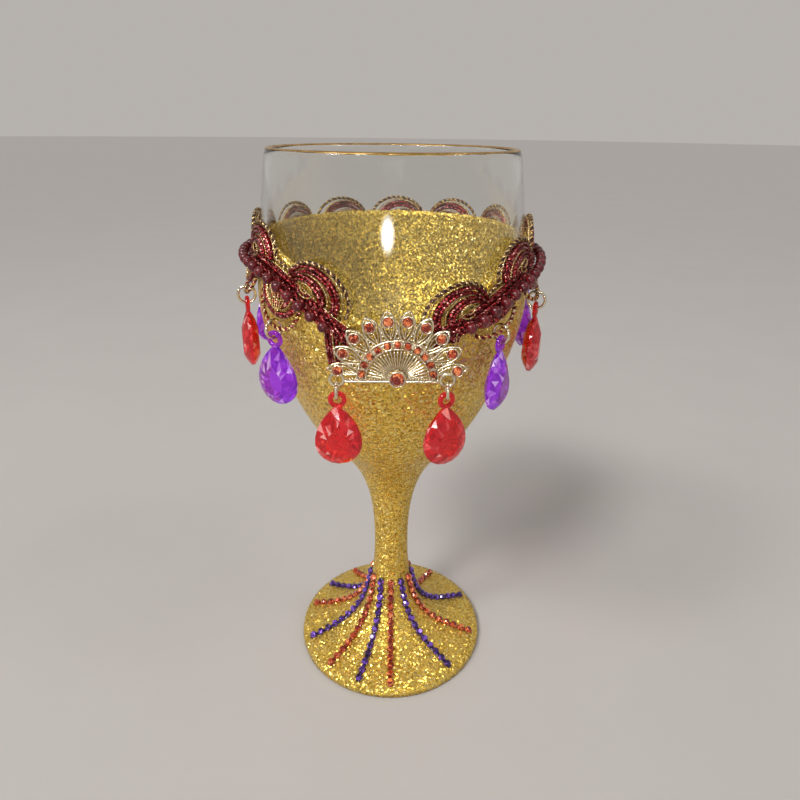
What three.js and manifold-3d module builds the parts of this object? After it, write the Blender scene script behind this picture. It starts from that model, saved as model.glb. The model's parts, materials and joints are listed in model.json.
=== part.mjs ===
// A stemmed goblet dressed with glued-on trim. The glass is one piece. On it sit a glitter coat, a gilt
// rim line, a beaded braid with scallops, a filigree fan with stones, twelve hanging drops and twelve
// strips of stones on the foot.
// Millimetres, +Z up. The origin is the middle of the flat underside, and the fan faces -Y.
// Angles round the axis are in degrees from the front, positive towards +X.
import * as THREE from 'three';
import { mergeVertices } from 'three/addons/utils/BufferGeometryUtils.js';
import Module from 'manifold-3d';

const wasm = await Module();
wasm.setup();

// Glass: radii from the axis, heights above the table
const GLASS_HEIGHT = 184.6;
const RIM_RADIUS = 36.9;
const RIM_LEVER = 14;
const RIM_FLARE = 2.4;
const BELLY_RADIUS = 41.2;
const BELLY_HEIGHT = 142;
const BELLY_LEVER_ABOVE = 9;
const BELLY_LEVER_BELOW = 12;
const TURN_RADIUS = 22.3;
const TURN_HEIGHT = 92;
const TURN_SLOPE = 49.5;
const TURN_LEVER_ABOVE = 13.8;
const TURN_LEVER_BELOW = 12.3;
const STEM_RADIUS = 5.5;
const STEM_HEIGHT = 46;
const STEM_LEVER_ABOVE = 30;
const STEM_LEVER_BELOW = 36;
const FOOT_RADIUS = 35.4;
const FOOT_EDGE = 2.2;
const FOOT_CHAMFER = 0.6;
const FOOT_REACH = 20;
const FOOT_RISE = 4.6;
const BOWL_WALL = 1.8;
const BOWL_DIP = 8;

// Skins on the glass, and the gaps that glue fills
const BOND = 0.3;
const SEAT = 0.3;
const COAT_THICKNESS = 0.5;
const COAT_ABOVE_BRAID = 6.2;
const GILT_THICKNESS = 0.3;

// Braid: its middle line runs level round the back and dips at the front
const BRAID_HEIGHT = 155.8;
const BRAID_DIP = 18.5;
const BRAID_DIP_LEFT = 32;
const BRAID_DIP_RIGHT = 48;
const BRAID_TURN = -2.5;
const BAND_START = 15;
const BAND_WIDTH = 5.2;
const BAND_THICKNESS = 1.8;
const SCALLOPS = 11;
const SCALLOP_PITCH = 30.4;
const ARCH_WIDTH = 19.4;
const ARCH_HEIGHT = 10.8;
const ARCH_FRONT_GAIN = 0.6;
const ARCH_GAIN_SPREAD = 75;
const EDGE_CORD = 1.8;
const EDGE_CORD_GAP = 0.9;
const INNER_CORD_WIDTH = 2.4;
const INNER_CORD_HEIGHT = 1.3;
const INNER_ARCH_WIDTH = 12.8;
const LOBE_REACH = 11.2;
const FRONT_LOBE_REACH = 15.3;
const LOBE_SPAN = 21;
const LOBE_STAND = 3.6;
const LOBE_CORD = 1.4;
const INNER_LOBE_SPAN = 13;
const INNER_LOBE_DEPTH = 5.2;
const BEAD_START = 24;
const BEAD_END = 339.5;
const BEAD_DIAMETER = 3.4;
const BEAD_PITCH = 4.3;
const BEAD_THREAD = 1;
const TAIL_ANGLES = [-22, 22];
const TAIL_ENDS = [131.5, 138.5];
const TAIL_WIDTH = 3.4;

// Fan: a flat filigree round its centre stone, whose back lies on the two braid ends
const FAN_HEIGHT = 130;
const FAN_SHIFT = 1.4;
const FAN_RADIUS = 18.8;
const FAN_THICKNESS = 1;
const FAN_PETALS = 10;
const FAN_FOOT = 1.3;
const FAN_BAR = 1.5;
const PETAL_ROOT = 10;
const PETAL_WIDTH = 4.6;
const PETAL_WALL = 0.8;
const PETAL_STONE = 3;
const PETAL_STONE_RADIUS = 15.8;
const ARC_RADIUS = 9.5;
const ARC_WIDTH = 2.6;
const ARC_STONES = 11;
const ARC_STONE = 2.1;
const ARC_BACKING = 0.4;
const RIB_WIDTH = 0.7;
const RIBS = 7;
const BOSS_RADIUS = 2.5;
const CENTRE_STONE = 4;
const STONE_RISE = 0.45;
const HANGER_LEFT = -16;
const HANGER_RIGHT = 13.2;
const HANGER_RISE = 1;
const HANGER_HOLE = 1.3;
const HANGER_WALL = 0.9;

// Pendants: a jump ring on each carrier and a faceted drop with a moulded loop on each ring
const RING_RADIUS = 2.55;
const RING_WIRE = 0.9;
const LINK_GAP = 0.28;
const LOOP_HOLE = 1.15;
const LOOP_WIRE = 1.4;
const DROP_WIDTH = 13;
const DROP_HEIGHT = 18;
const DROP_DEPTH = 5;
const DROP_GIRDLE = 1;
const DROP_TABLE = 0.5;
const DROP_SHOULDER = 5.5;
const FRONT_DROP_TWIST = 18;
const RIGHT_DROP_TWIST = 25;

// Strips of stones on the foot: evenly spread at the stem, laid out by hand at the edge
const STRIP_TOP = 32;
const STRIP_WIDTH = 3;
const STRIP_WAIST = 2.2;
const STRIP_CREST = 1.6;
const STRIP_TAPE = 0.4;
const STRIP_PITCH = 3.1;
const STRIP_STONE_RISE = 1.4;
const STRIP_MARGIN = 1;
const STRIP_END_ANGLES = [0, 42, 77, 113, 147, 180, 210, 233, 256, 288, 316, 339];

// Facets: how many sides and steps the round and winding forms have
const ROUND_SEGMENTS = 24;
const BAND_STEPS = 40;
const CORD_SIDES = 4;
const ARCH_POINTS = 6;
const LOBE_POINTS = 8;
const EDGE_CORD_STEPS = 6;
const LOBE_CORD_STEPS = 8;
const INNER_ARCH_STEPS = 4;
const INNER_LOBE_STEPS = 3;
const BEAD_SIDES = 4;
const RING_STEPS = 10;
const LOOP_STEPS = 8;
const STONE_SIDES = 6;
const PLATE_STEPS = 4;
const PETAL_STEPS = 2;
const SHOULDER_STEPS = 2;
const DROP_STEPS = 6;
const TAIL_STEPS = 3;

const COLOURS = {
  glass: { color: 0xdfe6e4, roughness: 0.03, metalness: 0, transparent: true, opacity: 0.35 },
  glitter: { color: 0xb98a35, roughness: 0.35, metalness: 0.8 },
  gilt: { color: 0xd8a94a, roughness: 0.2, metalness: 1 },
  braidRed: { color: 0x6e1420, roughness: 0.7, metalness: 0.1 },
  braidGold: { color: 0xb8862f, roughness: 0.45, metalness: 0.7 },
  bead: { color: 0x7a1028, roughness: 0.2, metalness: 0 },
  fan: { color: 0xd9c79b, roughness: 0.3, metalness: 1 },
  redStone: { color: 0xb3201c, roughness: 0.08, metalness: 0 },
  purpleStone: { color: 0x4a2a8c, roughness: 0.08, metalness: 0 },
  ring: { color: 0xcdb98c, roughness: 0.25, metalness: 1 },
};

const rad = THREE.MathUtils.degToRad;
const materials = Object.fromEntries(
  Object.entries(COLOURS).map(([name, look]) => [name, new THREE.MeshStandardMaterial(look)]),
);

// A closed shell with shared corners and its faces turned outwards
function closed(geometry) {
  const bare = new THREE.BufferGeometry();
  bare.setAttribute('position', geometry.getAttribute('position').clone());
  bare.setIndex(geometry.getIndex());
  const shell = mergeVertices(bare, 1e-4);
  const place = shell.getAttribute('position');
  const index = Array.from(shell.getIndex().array);
  const corner = (i) => new THREE.Vector3().fromBufferAttribute(place, index[i]);
  const kept = [];
  let volume = 0;
  for (let i = 0; i < index.length; i += 3) {
    const [a, b, c] = [index[i], index[i + 1], index[i + 2]];
    if (a !== b && b !== c && c !== a) {
      kept.push(a, b, c);
      volume += corner(i).dot(corner(i + 1).cross(corner(i + 2)));
    }
  }
  shell.setIndex(volume < 0 ? kept.reverse() : kept);
  return shell;
}

function toSolid(geometry) {
  const shell = closed(geometry);
  return new wasm.Manifold(new wasm.Mesh({
    numProp: 3,
    vertProperties: new Float32Array(shell.getAttribute('position').array),
    triVerts: new Uint32Array(shell.getIndex().array),
  }));
}

function toGeometry(solid) {
  const mesh = solid.getMesh();
  const geometry = new THREE.BufferGeometry();
  geometry.setAttribute('position', new THREE.BufferAttribute(mesh.vertProperties, 3));
  geometry.setIndex(new THREE.BufferAttribute(mesh.triVerts, 1));
  return geometry;
}

function join(geometries) {
  return toGeometry(geometries.map(toSolid).reduce((whole, piece) => whole.add(piece)));
}

// A skin through equal rings of points, closed into a loop or capped at both ends
function loft(rings, looped) {
  const count = rings[0].length;
  const triangles = [];
  const spans = looped ? rings.length : rings.length - 1;
  for (let i = 0; i < spans; i += 1) {
    const near = i * count;
    const far = ((i + 1) % rings.length) * count;
    for (let j = 0; j < count; j += 1) {
      const k = (j + 1) % count;
      triangles.push(near + j, near + k, far + k, near + j, far + k, far + j);
    }
  }
  if (!looped) {
    const end = (rings.length - 1) * count;
    for (let j = 1; j < count - 1; j += 1) {
      triangles.push(0, j + 1, j, end, end + j, end + j + 1);
    }
  }
  const geometry = new THREE.BufferGeometry().setFromPoints(rings.flat());
  geometry.setIndex(triangles);
  return closed(geometry);
}

function ovalShape(width, height, sides) {
  const corners = Array.from({ length: sides }, (_, i) => {
    const turn = ((i + 0.5) / sides) * 2 * Math.PI;
    return new THREE.Vector2((width / 2) * Math.cos(turn), (height / 2) * Math.sin(turn));
  });
  return new THREE.Shape(corners);
}

function cordAlong(points, section, steps) {
  const extrudePath = new THREE.CatmullRomCurve3(points);
  return closed(new THREE.ExtrudeGeometry(section, { steps, extrudePath }));
}

// A place round the axis at an angle, radius and height
function around(angle, radius, height) {
  return new THREE.Vector3(radius * Math.sin(rad(angle)), -radius * Math.cos(rad(angle)), height);
}

// Outline of the glass from the foot's edge up to the rim, as radius and height
function glassOutline() {
  const at = (radius, height) => new THREE.Vector2(radius, height);
  const slope = rad(TURN_SLOPE);
  const turn = at(TURN_RADIUS, TURN_HEIGHT);
  const along = at(Math.cos(slope), Math.sin(slope));
  const edge = at(FOOT_RADIUS, FOOT_EDGE);
  const waist = at(STEM_RADIUS, STEM_HEIGHT);
  const belly = at(BELLY_RADIUS, BELLY_HEIGHT);
  return [
    { divisions: 1, curve: new THREE.LineCurve(at(FOOT_RADIUS, FOOT_CHAMFER), edge) },
    { divisions: 6, curve: new THREE.CubicBezierCurve(
      edge, at(FOOT_RADIUS - FOOT_REACH, FOOT_EDGE + FOOT_RISE),
      at(STEM_RADIUS, STEM_HEIGHT - STEM_LEVER_BELOW), waist) },
    { divisions: 4, curve: new THREE.CubicBezierCurve(
      waist, at(STEM_RADIUS, STEM_HEIGHT + STEM_LEVER_ABOVE),
      turn.clone().addScaledVector(along, -TURN_LEVER_BELOW), turn) },
    { divisions: 5, curve: new THREE.CubicBezierCurve(
      turn, turn.clone().addScaledVector(along, TURN_LEVER_ABOVE),
      at(BELLY_RADIUS, BELLY_HEIGHT - BELLY_LEVER_BELOW), belly) },
    { divisions: 4, curve: new THREE.CubicBezierCurve(
      belly, at(BELLY_RADIUS, BELLY_HEIGHT + BELLY_LEVER_ABOVE),
      at(RIM_RADIUS + RIM_FLARE, GLASS_HEIGHT - RIM_LEVER), at(RIM_RADIUS, GLASS_HEIGHT)) },
  ];
}

function stationsOf(outline) {
  return outline.flatMap(({ divisions, curve }, i) => {
    const points = curve.getSpacedPoints(divisions);
    return i === 0 ? points : points.slice(1);
  });
}

// The same line a set distance further out, with mitred corners
function offsetLine(line, distance) {
  const normals = line.slice(1).map((point, i) => {
    const run = point.clone().sub(line[i]).normalize();
    return new THREE.Vector2(run.y, -run.x);
  });
  return line.map((point, i) => {
    const before = normals[Math.max(i - 1, 0)];
    const after = normals[Math.min(i, normals.length - 1)];
    const mitre = before.clone().add(after).normalize();
    return point.clone().addScaledVector(mitre, distance / mitre.dot(after));
  });
}

function pointAtHeight(line, height) {
  const i = Math.max(line.findIndex((point, k) => k > 0 && point.y >= height), 1);
  const [low, high] = [line[i - 1], line[i]];
  return low.clone().lerp(high, (height - low.y) / (high.y - low.y));
}

// The stretch of a line over the foot, from a height on the stem down and out to a radius
function footStretch(line, height, radius) {
  const above = line.findIndex((point) => point.y > height);
  const inside = line.findIndex((point) => point.x < radius);
  const [out, into] = [line[inside - 1], line[inside]];
  const end = out.clone().lerp(into, (out.x - radius) / (out.x - into.x));
  return [pointAtHeight(line, height), ...line.slice(inside, above).reverse(), end];
}

const GLASS_LINE = stationsOf(glassOutline());
const COAT_INNER = offsetLine(GLASS_LINE, BOND);
const COAT_OUTER = offsetLine(GLASS_LINE, BOND + COAT_THICKNESS);
const SEAT_LINE = offsetLine(GLASS_LINE, BOND + COAT_THICKNESS + SEAT);
const coatRadius = (height) => pointAtHeight(COAT_OUTER, height).x;

function revolve(profile) {
  return closed(new THREE.LatheGeometry(profile, ROUND_SEGMENTS).rotateX(Math.PI / 2));
}

function gobletGlass() {
  const inside = offsetLine(GLASS_LINE, -BOWL_WALL)
    .filter((_, i) => GLASS_LINE[i].y > TURN_HEIGHT)
    .reverse();
  inside[0] = new THREE.Vector2(RIM_RADIUS - BOWL_WALL, GLASS_HEIGHT);
  const low = inside[inside.length - 1];
  const floor = low.y - BOWL_DIP;
  const bend = new THREE.Vector2(low.x - BOWL_DIP / Math.tan(rad(TURN_SLOPE)), floor);
  const bottom = new THREE.QuadraticBezierCurve(low, bend, new THREE.Vector2(0, floor));
  return revolve([
    new THREE.Vector2(0, 0),
    new THREE.Vector2(FOOT_RADIUS - FOOT_CHAMFER, 0),
    ...GLASS_LINE,
    ...inside,
    ...bottom.getPoints(3).slice(1),
  ]);
}

function giltRim() {
  const low = GLASS_HEIGHT + BOND;
  const high = low + GILT_THICKNESS;
  const inner = RIM_RADIUS - BOWL_WALL;
  return revolve([
    new THREE.Vector2(inner, low),
    new THREE.Vector2(RIM_RADIUS, low),
    new THREE.Vector2(RIM_RADIUS, high),
    new THREE.Vector2(inner, high),
    new THREE.Vector2(inner, low),
  ]);
}

// How much of a change at the front is felt at an angle, from 1 in front to 0 behind
const fromFront = (angle) => THREE.MathUtils.euclideanModulo(angle - BRAID_TURN + 180, 360) - 180;
const frontShare = (angle, spread) => Math.exp(-((fromFront(angle) / spread) ** 2));
const dipSpread = (angle) => (fromFront(angle) < 0 ? BRAID_DIP_LEFT : BRAID_DIP_RIGHT);
const braidHeight = (angle) => BRAID_HEIGHT - BRAID_DIP * frontShare(angle, dipSpread(angle));

// A place on the braid: above its middle line by across, and off the coat by stand
function onBraid(angle, across, stand) {
  const height = braidHeight(angle) + across;
  return around(angle, coatRadius(height) + stand, height);
}

// A place in the slant that the braid has at an angle: along it, square to it, and off the coat
function inSlant(angle, along, across, stand) {
  const turn = THREE.MathUtils.radToDeg(1 / BELLY_RADIUS);
  const slope = braidHeight(angle + turn / 2) - braidHeight(angle - turn / 2);
  const run = new THREE.Vector2(1, slope).normalize();
  const height = braidHeight(angle) + along * run.y + across * run.x;
  return around(angle + (along * run.x - across * run.y) * turn, coatRadius(height) + stand, height);
}

// A full coat on the glass's own stations, trimmed along the braid
function glitterCoat() {
  const coatTop = (angle) => braidHeight(angle) + COAT_ABOVE_BRAID;
  const stations = COAT_OUTER.findIndex((point) => point.y > BRAID_HEIGHT + COAT_ABOVE_BRAID) + 1;
  const section = [...COAT_OUTER.slice(0, stations), ...COAT_INNER.slice(0, stations).reverse()];
  const angles = Array.from({ length: ROUND_SEGMENTS }, (_, i) => (i / ROUND_SEGMENTS) * 360);
  const full = loft(angles.map((angle) => section.map((point) => around(angle, point.x, point.y))), true);
  const above = loft(angles.map((angle) => [
    around(angle, STEM_RADIUS, coatTop(angle)),
    around(angle, 2 * BELLY_RADIUS, coatTop(angle)),
    around(angle, 2 * BELLY_RADIUS, 2 * GLASS_HEIGHT),
    around(angle, STEM_RADIUS, 2 * GLASS_HEIGHT),
  ]), true);
  return toGeometry(toSolid(full).subtract(toSolid(above)));
}

const scallopAngles = Array.from(
  { length: SCALLOPS },
  (_, i) => 180 + BRAID_TURN + (i - (SCALLOPS - 1) / 2) * SCALLOP_PITCH,
);
const lobeAngles = scallopAngles.slice(1).map((angle) => angle - SCALLOP_PITCH / 2);
const isFrontLobe = (i) => i === 0 || i === lobeAngles.length - 1;
const lobeReach = (i) => (isFrontLobe(i) ? FRONT_LOBE_REACH : LOBE_REACH);
const lobeTip = (i) => BRAID_HEIGHT - lobeReach(i) - braidHeight(lobeAngles[i]);
const archRise = (angle) => ARCH_HEIGHT + ARCH_FRONT_GAIN * frontShare(angle, ARCH_GAIN_SPREAD);

// Half an oval that stands square on the braid, from one foot over its crown to the other foot
function scallopPoints(middle, width, foot, crown, stand) {
  return Array.from({ length: ARCH_POINTS + 1 }, (_, i) => {
    const turn = Math.PI * (1 - i / ARCH_POINTS);
    return inSlant(
      middle, (width / 2) * Math.cos(turn), foot + (crown - foot) * Math.sin(turn), stand);
  });
}

// Half an oval that hangs on the braid, from one foot over its tip to the other foot
function archPoints(middle, span, foot, crown, count, stand) {
  return Array.from({ length: count + 1 }, (_, i) => {
    const turn = Math.PI * (1 - i / count);
    const angle = middle + (span / 2) * Math.cos(turn);
    const across = foot + (crown - foot) * Math.sin(turn);
    return onBraid(angle, across, stand(Math.sin(turn)));
  });
}

function bandRing(angle) {
  const low = SEAT;
  const high = SEAT + BAND_THICKNESS;
  const half = BAND_WIDTH / 2;
  return [
    onBraid(angle, -half, low),
    onBraid(angle, half, low),
    onBraid(angle, half, high),
    onBraid(angle, -half, high),
  ];
}

// The end of the ribbon, turned down beside the fan
function ribbonTail(angle, end) {
  const half = THREE.MathUtils.radToDeg(TAIL_WIDTH / 2 / BELLY_RADIUS);
  const start = braidHeight(angle);
  const rings = Array.from({ length: TAIL_STEPS + 1 }, (_, i) => {
    const height = THREE.MathUtils.lerp(start, end, i / TAIL_STEPS);
    const low = coatRadius(height) + SEAT;
    const high = low + BAND_THICKNESS;
    return [
      around(angle - half, low, height),
      around(angle + half, low, height),
      around(angle + half, high, height),
      around(angle - half, high, height),
    ];
  });
  return loft(rings, false);
}

// The woven ribbon with its inner arches, lobes and two ends, sewn together as one
function braidRibbon() {
  const rings = Array.from({ length: BAND_STEPS + 1 }, (_, i) =>
    bandRing(THREE.MathUtils.lerp(BAND_START, 360 - BAND_START, i / BAND_STEPS)));
  const section = ovalShape(INNER_CORD_HEIGHT, INNER_CORD_WIDTH, CORD_SIDES);
  const stand = SEAT + BAND_THICKNESS / 2;
  const foot = BAND_WIDTH / 2 - INNER_CORD_WIDTH / 2;
  const rise = (angle) => archRise(angle) - EDGE_CORD - SEAT - INNER_CORD_WIDTH;
  const arches = scallopAngles.map((angle) =>
    scallopPoints(angle, INNER_ARCH_WIDTH, foot, rise(angle), stand));
  const loops = lobeAngles.map((angle) =>
    archPoints(angle, INNER_LOBE_SPAN, -foot, -INNER_LOBE_DEPTH, ARCH_POINTS, () => stand));
  return join([
    loft(rings, false),
    ...arches.map((points) => cordAlong(points, section, INNER_ARCH_STEPS)),
    ...loops.map((points) => cordAlong(points, section, INNER_LOBE_STEPS)),
    ...TAIL_ANGLES.map((angle, i) => ribbonTail(angle, TAIL_ENDS[i])),
  ]);
}

// The gold cord along the upper edge: an arch over each scallop and a short run between two arches
function edgeRoute() {
  const foot = BAND_WIDTH / 2 + EDGE_CORD_GAP + EDGE_CORD / 2;
  const stand = SEAT + EDGE_CORD / 2;
  return scallopAngles.flatMap((angle) =>
    scallopPoints(angle, ARCH_WIDTH, foot, archRise(angle), stand));
}

function edgeCord() {
  const section = ovalShape(EDGE_CORD, EDGE_CORD, CORD_SIDES);
  return cordAlong(edgeRoute(), section, SCALLOPS * EDGE_CORD_STEPS);
}

// The gold cord of the lower lobes: it lifts off the coat at each tip, where a jump ring hangs
function lobeCord() {
  const foot = -(BAND_WIDTH / 2 + SEAT + LOBE_CORD / 2);
  const stand = (share) => THREE.MathUtils.lerp(SEAT + LOBE_CORD / 2, LOBE_STAND, share);
  const points = lobeAngles.flatMap((angle, i) => {
    const lobe = archPoints(angle, LOBE_SPAN, foot, lobeTip(i), LOBE_POINTS, stand);
    const between = onBraid(angle - SCALLOP_PITCH / 2, foot, stand(0));
    return i === 0 ? lobe : [between, ...lobe];
  });
  const section = ovalShape(LOBE_CORD, LOBE_CORD, CORD_SIDES);
  return cordAlong(points, section, lobeAngles.length * LOBE_CORD_STEPS);
}

// Beads threaded along the middle of the braid, each two cones wide
function beadRow() {
  const stand = SEAT + BAND_THICKNESS + SEAT + BEAD_DIAMETER / 2;
  const thread = new THREE.CatmullRomCurve3(Array.from({ length: BAND_STEPS + 1 }, (_, i) =>
    onBraid(THREE.MathUtils.lerp(BEAD_START, BEAD_END, i / BAND_STEPS), 0, stand)));
  const beads = Math.round(thread.getLength() / BEAD_PITCH);
  const rings = Array.from({ length: 2 * beads + 1 }, (_, i) => {
    const share = i / (2 * beads);
    const centre = thread.getPointAt(share);
    const run = thread.getTangentAt(share);
    const out = new THREE.Vector3(centre.x, centre.y, 0).projectOnPlane(run).normalize();
    const side = run.clone().cross(out);
    const radius = (i % 2 === 1 ? BEAD_DIAMETER : BEAD_THREAD) / 2;
    return Array.from({ length: BEAD_SIDES }, (_unused, j) => {
      const turn = (j / BEAD_SIDES) * 2 * Math.PI;
      return centre.clone()
        .addScaledVector(out, radius * Math.cos(turn))
        .addScaledVector(side, radius * Math.sin(turn));
    });
  });
  return loft(rings, false);
}

// The back of the fan lies on the edge cord, where that comes furthest forward
function fanBack() {
  const cordFront = Math.max(...edgeRoute().map((point) => -point.y)) + EDGE_CORD / 2;
  return Math.max(cordFront, coatRadius(BELLY_HEIGHT)) + SEAT;
}

function plate(shape, thickness, curveSegments = PLATE_STEPS) {
  const flat = new THREE.ExtrudeGeometry(shape, { depth: thickness, bevelEnabled: false, curveSegments });
  return flat.rotateX(Math.PI / 2);
}

function petalShape() {
  const half = PETAL_WIDTH / 2;
  const waist = (PETAL_ROOT + PETAL_STONE_RADIUS) / 2;
  const shape = new THREE.Shape();
  shape.moveTo(PETAL_ROOT - PETAL_WALL, -half / 2);
  shape.quadraticCurveTo(waist, -half, PETAL_STONE_RADIUS, -half);
  shape.quadraticCurveTo(FAN_RADIUS - PETAL_WALL, -half, FAN_RADIUS, 0);
  shape.quadraticCurveTo(FAN_RADIUS - PETAL_WALL, half, PETAL_STONE_RADIUS, half);
  shape.quadraticCurveTo(waist, half, PETAL_ROOT - PETAL_WALL, half / 2);
  const slot = new THREE.Path();
  const near = ARC_RADIUS + ARC_WIDTH / 2 + PETAL_WALL / 2;
  const far = PETAL_STONE_RADIUS - PETAL_STONE / 2;
  const slotHalf = half - PETAL_WALL;
  slot.moveTo(near, -slotHalf / 2);
  slot.lineTo(near, slotHalf / 2);
  slot.lineTo(far, slotHalf);
  slot.lineTo(far + PETAL_WALL / 2, 0);
  slot.lineTo(far, -slotHalf);
  shape.holes.push(slot);
  return shape;
}

function arcShape(radius, width) {
  const shape = new THREE.Shape();
  shape.absarc(0, 0, radius + width / 2, 0, Math.PI, false);
  shape.absarc(0, 0, radius - width / 2, Math.PI, 0, true);
  return shape;
}

function barShape(x0, y0, x1, y1) {
  const corners = [[x0, y0], [x1, y0], [x1, y1], [x0, y1]];
  return new THREE.Shape(corners.map(([x, y]) => new THREE.Vector2(x, y)));
}

function discShape(x, y, radius) {
  const shape = new THREE.Shape();
  shape.absarc(x, y, radius, 0, 2 * Math.PI, false);
  return shape;
}

const petalAngle = (i) => ((i + 0.5) / FAN_PETALS) * 180;
// The rim under a hanger's hole is what the jump ring goes round
const hangerHeight = HANGER_RISE - FAN_FOOT;
const hangerCarrier = hangerHeight - HANGER_HOLE - HANGER_WALL / 2;

// Stamped filigree: petals on a half ring, ribs from a boss, a bar along the base and two hangers
function fanFiligree() {
  const turned = (shape, angle) => plate(shape, FAN_THICKNESS, PETAL_STEPS).rotateY(-rad(angle));
  const petals = Array.from({ length: FAN_PETALS }, (_, i) => turned(petalShape(), petalAngle(i)));
  const rib = barShape(0, -RIB_WIDTH / 2, ARC_RADIUS, RIB_WIDTH / 2);
  const ribs = Array.from({ length: RIBS }, (_, i) => turned(rib, ((i + 1) / (RIBS + 1)) * 180));
  const eyes = [HANGER_LEFT, HANGER_RIGHT].map((reach) =>
    plate(discShape(reach, hangerHeight, HANGER_HOLE + HANGER_WALL), FAN_THICKNESS));
  const holes = [HANGER_LEFT, HANGER_RIGHT].map((reach) =>
    plate(discShape(reach, hangerHeight, HANGER_HOLE), FAN_THICKNESS * 3).translate(0, FAN_THICKNESS, 0));
  const whole = [
    ...petals,
    ...ribs,
    ...eyes,
    plate(arcShape(ARC_RADIUS, ARC_WIDTH), FAN_THICKNESS),
    plate(barShape(HANGER_LEFT, -FAN_FOOT, HANGER_RIGHT, FAN_BAR - FAN_FOOT), FAN_THICKNESS),
    plate(discShape(0, 0, BOSS_RADIUS), FAN_THICKNESS),
  ].map(toSolid).reduce((sum, piece) => sum.add(piece));
  return toGeometry(holes.map(toSolid).reduce((rest, hole) => rest.subtract(hole), whole));
}

// A cut stone with a flat back at the origin, facing -Y
function cutStone(diameter, sides) {
  const radius = diameter / 2;
  const rise = diameter * STONE_RISE;
  const profile = [[0, 0], [radius, 0], [radius, rise / 3], [radius / 2, rise], [0, rise]];
  const points = profile.map(([r, y]) => new THREE.Vector2(r, y));
  return closed(new THREE.LatheGeometry(points, sides).rotateX(Math.PI));
}

// A curved strip of backing with its small stones, as one piece
function arcChain() {
  const backing = plate(arcShape(ARC_RADIUS, ARC_WIDTH / 2), ARC_BACKING);
  const rise = ARC_STONE * STONE_RISE;
  const stones = Array.from({ length: ARC_STONES }, (_, i) => {
    const turn = ((i + 0.5) / ARC_STONES) * Math.PI;
    return new THREE.CylinderGeometry(ARC_STONE / 4, ARC_STONE / 2, rise, STONE_SIDES)
      .rotateX(Math.PI)
      .translate(ARC_RADIUS * Math.cos(turn), -(ARC_BACKING + rise) / 2, ARC_RADIUS * Math.sin(turn));
  });
  return join([backing, ...stones]);
}

// A jump ring in the upright plane that faces sideways; the origin is the middle of its carrier
function jumpRing(carrier) {
  const hang = RING_RADIUS - RING_WIRE / 2 - LINK_GAP - carrier / 2;
  const ring = new THREE.TorusGeometry(RING_RADIUS, RING_WIRE / 2, CORD_SIDES, RING_STEPS);
  return closed(ring.rotateY(Math.PI / 2).translate(0, 0, -hang));
}

const ringReach = (carrier) => 2 * RING_RADIUS - RING_WIRE / 2 - LINK_GAP - carrier / 2;

// Outline of a drop: two shoulders that run down from the top into a round lower half
function dropOutline() {
  const half = DROP_WIDTH / 2;
  const widest = half - DROP_HEIGHT;
  const at = (x, y) => new THREE.Vector2(x, y);
  const right = new THREE.QuadraticBezierCurve(at(0, 0), at(half, -DROP_SHOULDER), at(half, widest));
  const round = new THREE.EllipseCurve(0, widest, half, half, 0, Math.PI, true);
  const left = new THREE.QuadraticBezierCurve(at(-half, widest), at(-half, -DROP_SHOULDER), at(0, 0));
  return [
    ...right.getPoints(SHOULDER_STEPS),
    ...round.getPoints(DROP_STEPS).slice(1),
    ...left.getPoints(SHOULDER_STEPS).slice(1, -1),
  ];
}

// A drop cut with a table on both sides; the origin is the middle of the ring's wire in its loop
function facetedDrop() {
  const widest = DROP_WIDTH / 2 - DROP_HEIGHT;
  const corners = dropOutline();
  const ring = (scale, depth) => corners.map((point) =>
    new THREE.Vector3(point.x * scale, depth, widest + (point.y - widest) * scale));
  const girdle = DROP_GIRDLE / 2;
  const stone = loft([
    ring(DROP_TABLE, DROP_DEPTH / 2),
    ring(1, girdle),
    ring(1, -girdle),
    ring(DROP_TABLE, -DROP_DEPTH / 2),
  ], false);
  const loopRadius = LOOP_HOLE + LOOP_WIRE / 2;
  const loopCentre = RING_WIRE / 2 + LINK_GAP - LOOP_HOLE;
  const loop = new THREE.TorusGeometry(loopRadius, LOOP_WIRE / 2, CORD_SIDES, LOOP_STEPS)
    .rotateX(Math.PI / 2)
    .translate(0, 0, loopCentre);
  stone.translate(0, 0, loopCentre - loopRadius + LOOP_WIRE / 4);
  return join([stone, loop]);
}

// One strip of stones down the foot: a tape that swells into a stone at each pitch
function stoneStrip(startAngle, endAngle) {
  const line = footStretch(SEAT_LINE, STRIP_TOP, FOOT_RADIUS - STRIP_MARGIN);
  const route = new THREE.CurvePath();
  line.slice(1).forEach((point, i) => route.add(new THREE.LineCurve(line[i], point)));
  const stones = Math.floor(route.getLength() / STRIP_PITCH);
  const rings = Array.from({ length: 2 * stones + 1 }, (_, i) => {
    const share = i / (2 * stones);
    const angle = THREE.MathUtils.lerp(startAngle, endAngle, Math.sin((share * Math.PI) / 2));
    const point = route.getPoint(share);
    const run = route.getTangent(share);
    const crest = i % 2 === 1;
    const rise = crest ? STRIP_STONE_RISE : STRIP_TAPE;
    const top = (crest ? STRIP_CREST : STRIP_WAIST) / 2;
    const foot = STRIP_WIDTH / 2;
    const across = around(angle + 90, 1, 0);
    const corner = (side, height) =>
      around(angle, point.x - run.y * height, point.y + run.x * height).addScaledVector(across, side);
    return [corner(-foot, 0), corner(foot, 0), corner(top, rise), corner(-top, rise)];
  });
  return loft(rings, false);
}

function mesh(name, geometry, material) {
  const piece = new THREE.Mesh(geometry, materials[material]);
  piece.name = name;
  return piece;
}

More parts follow.
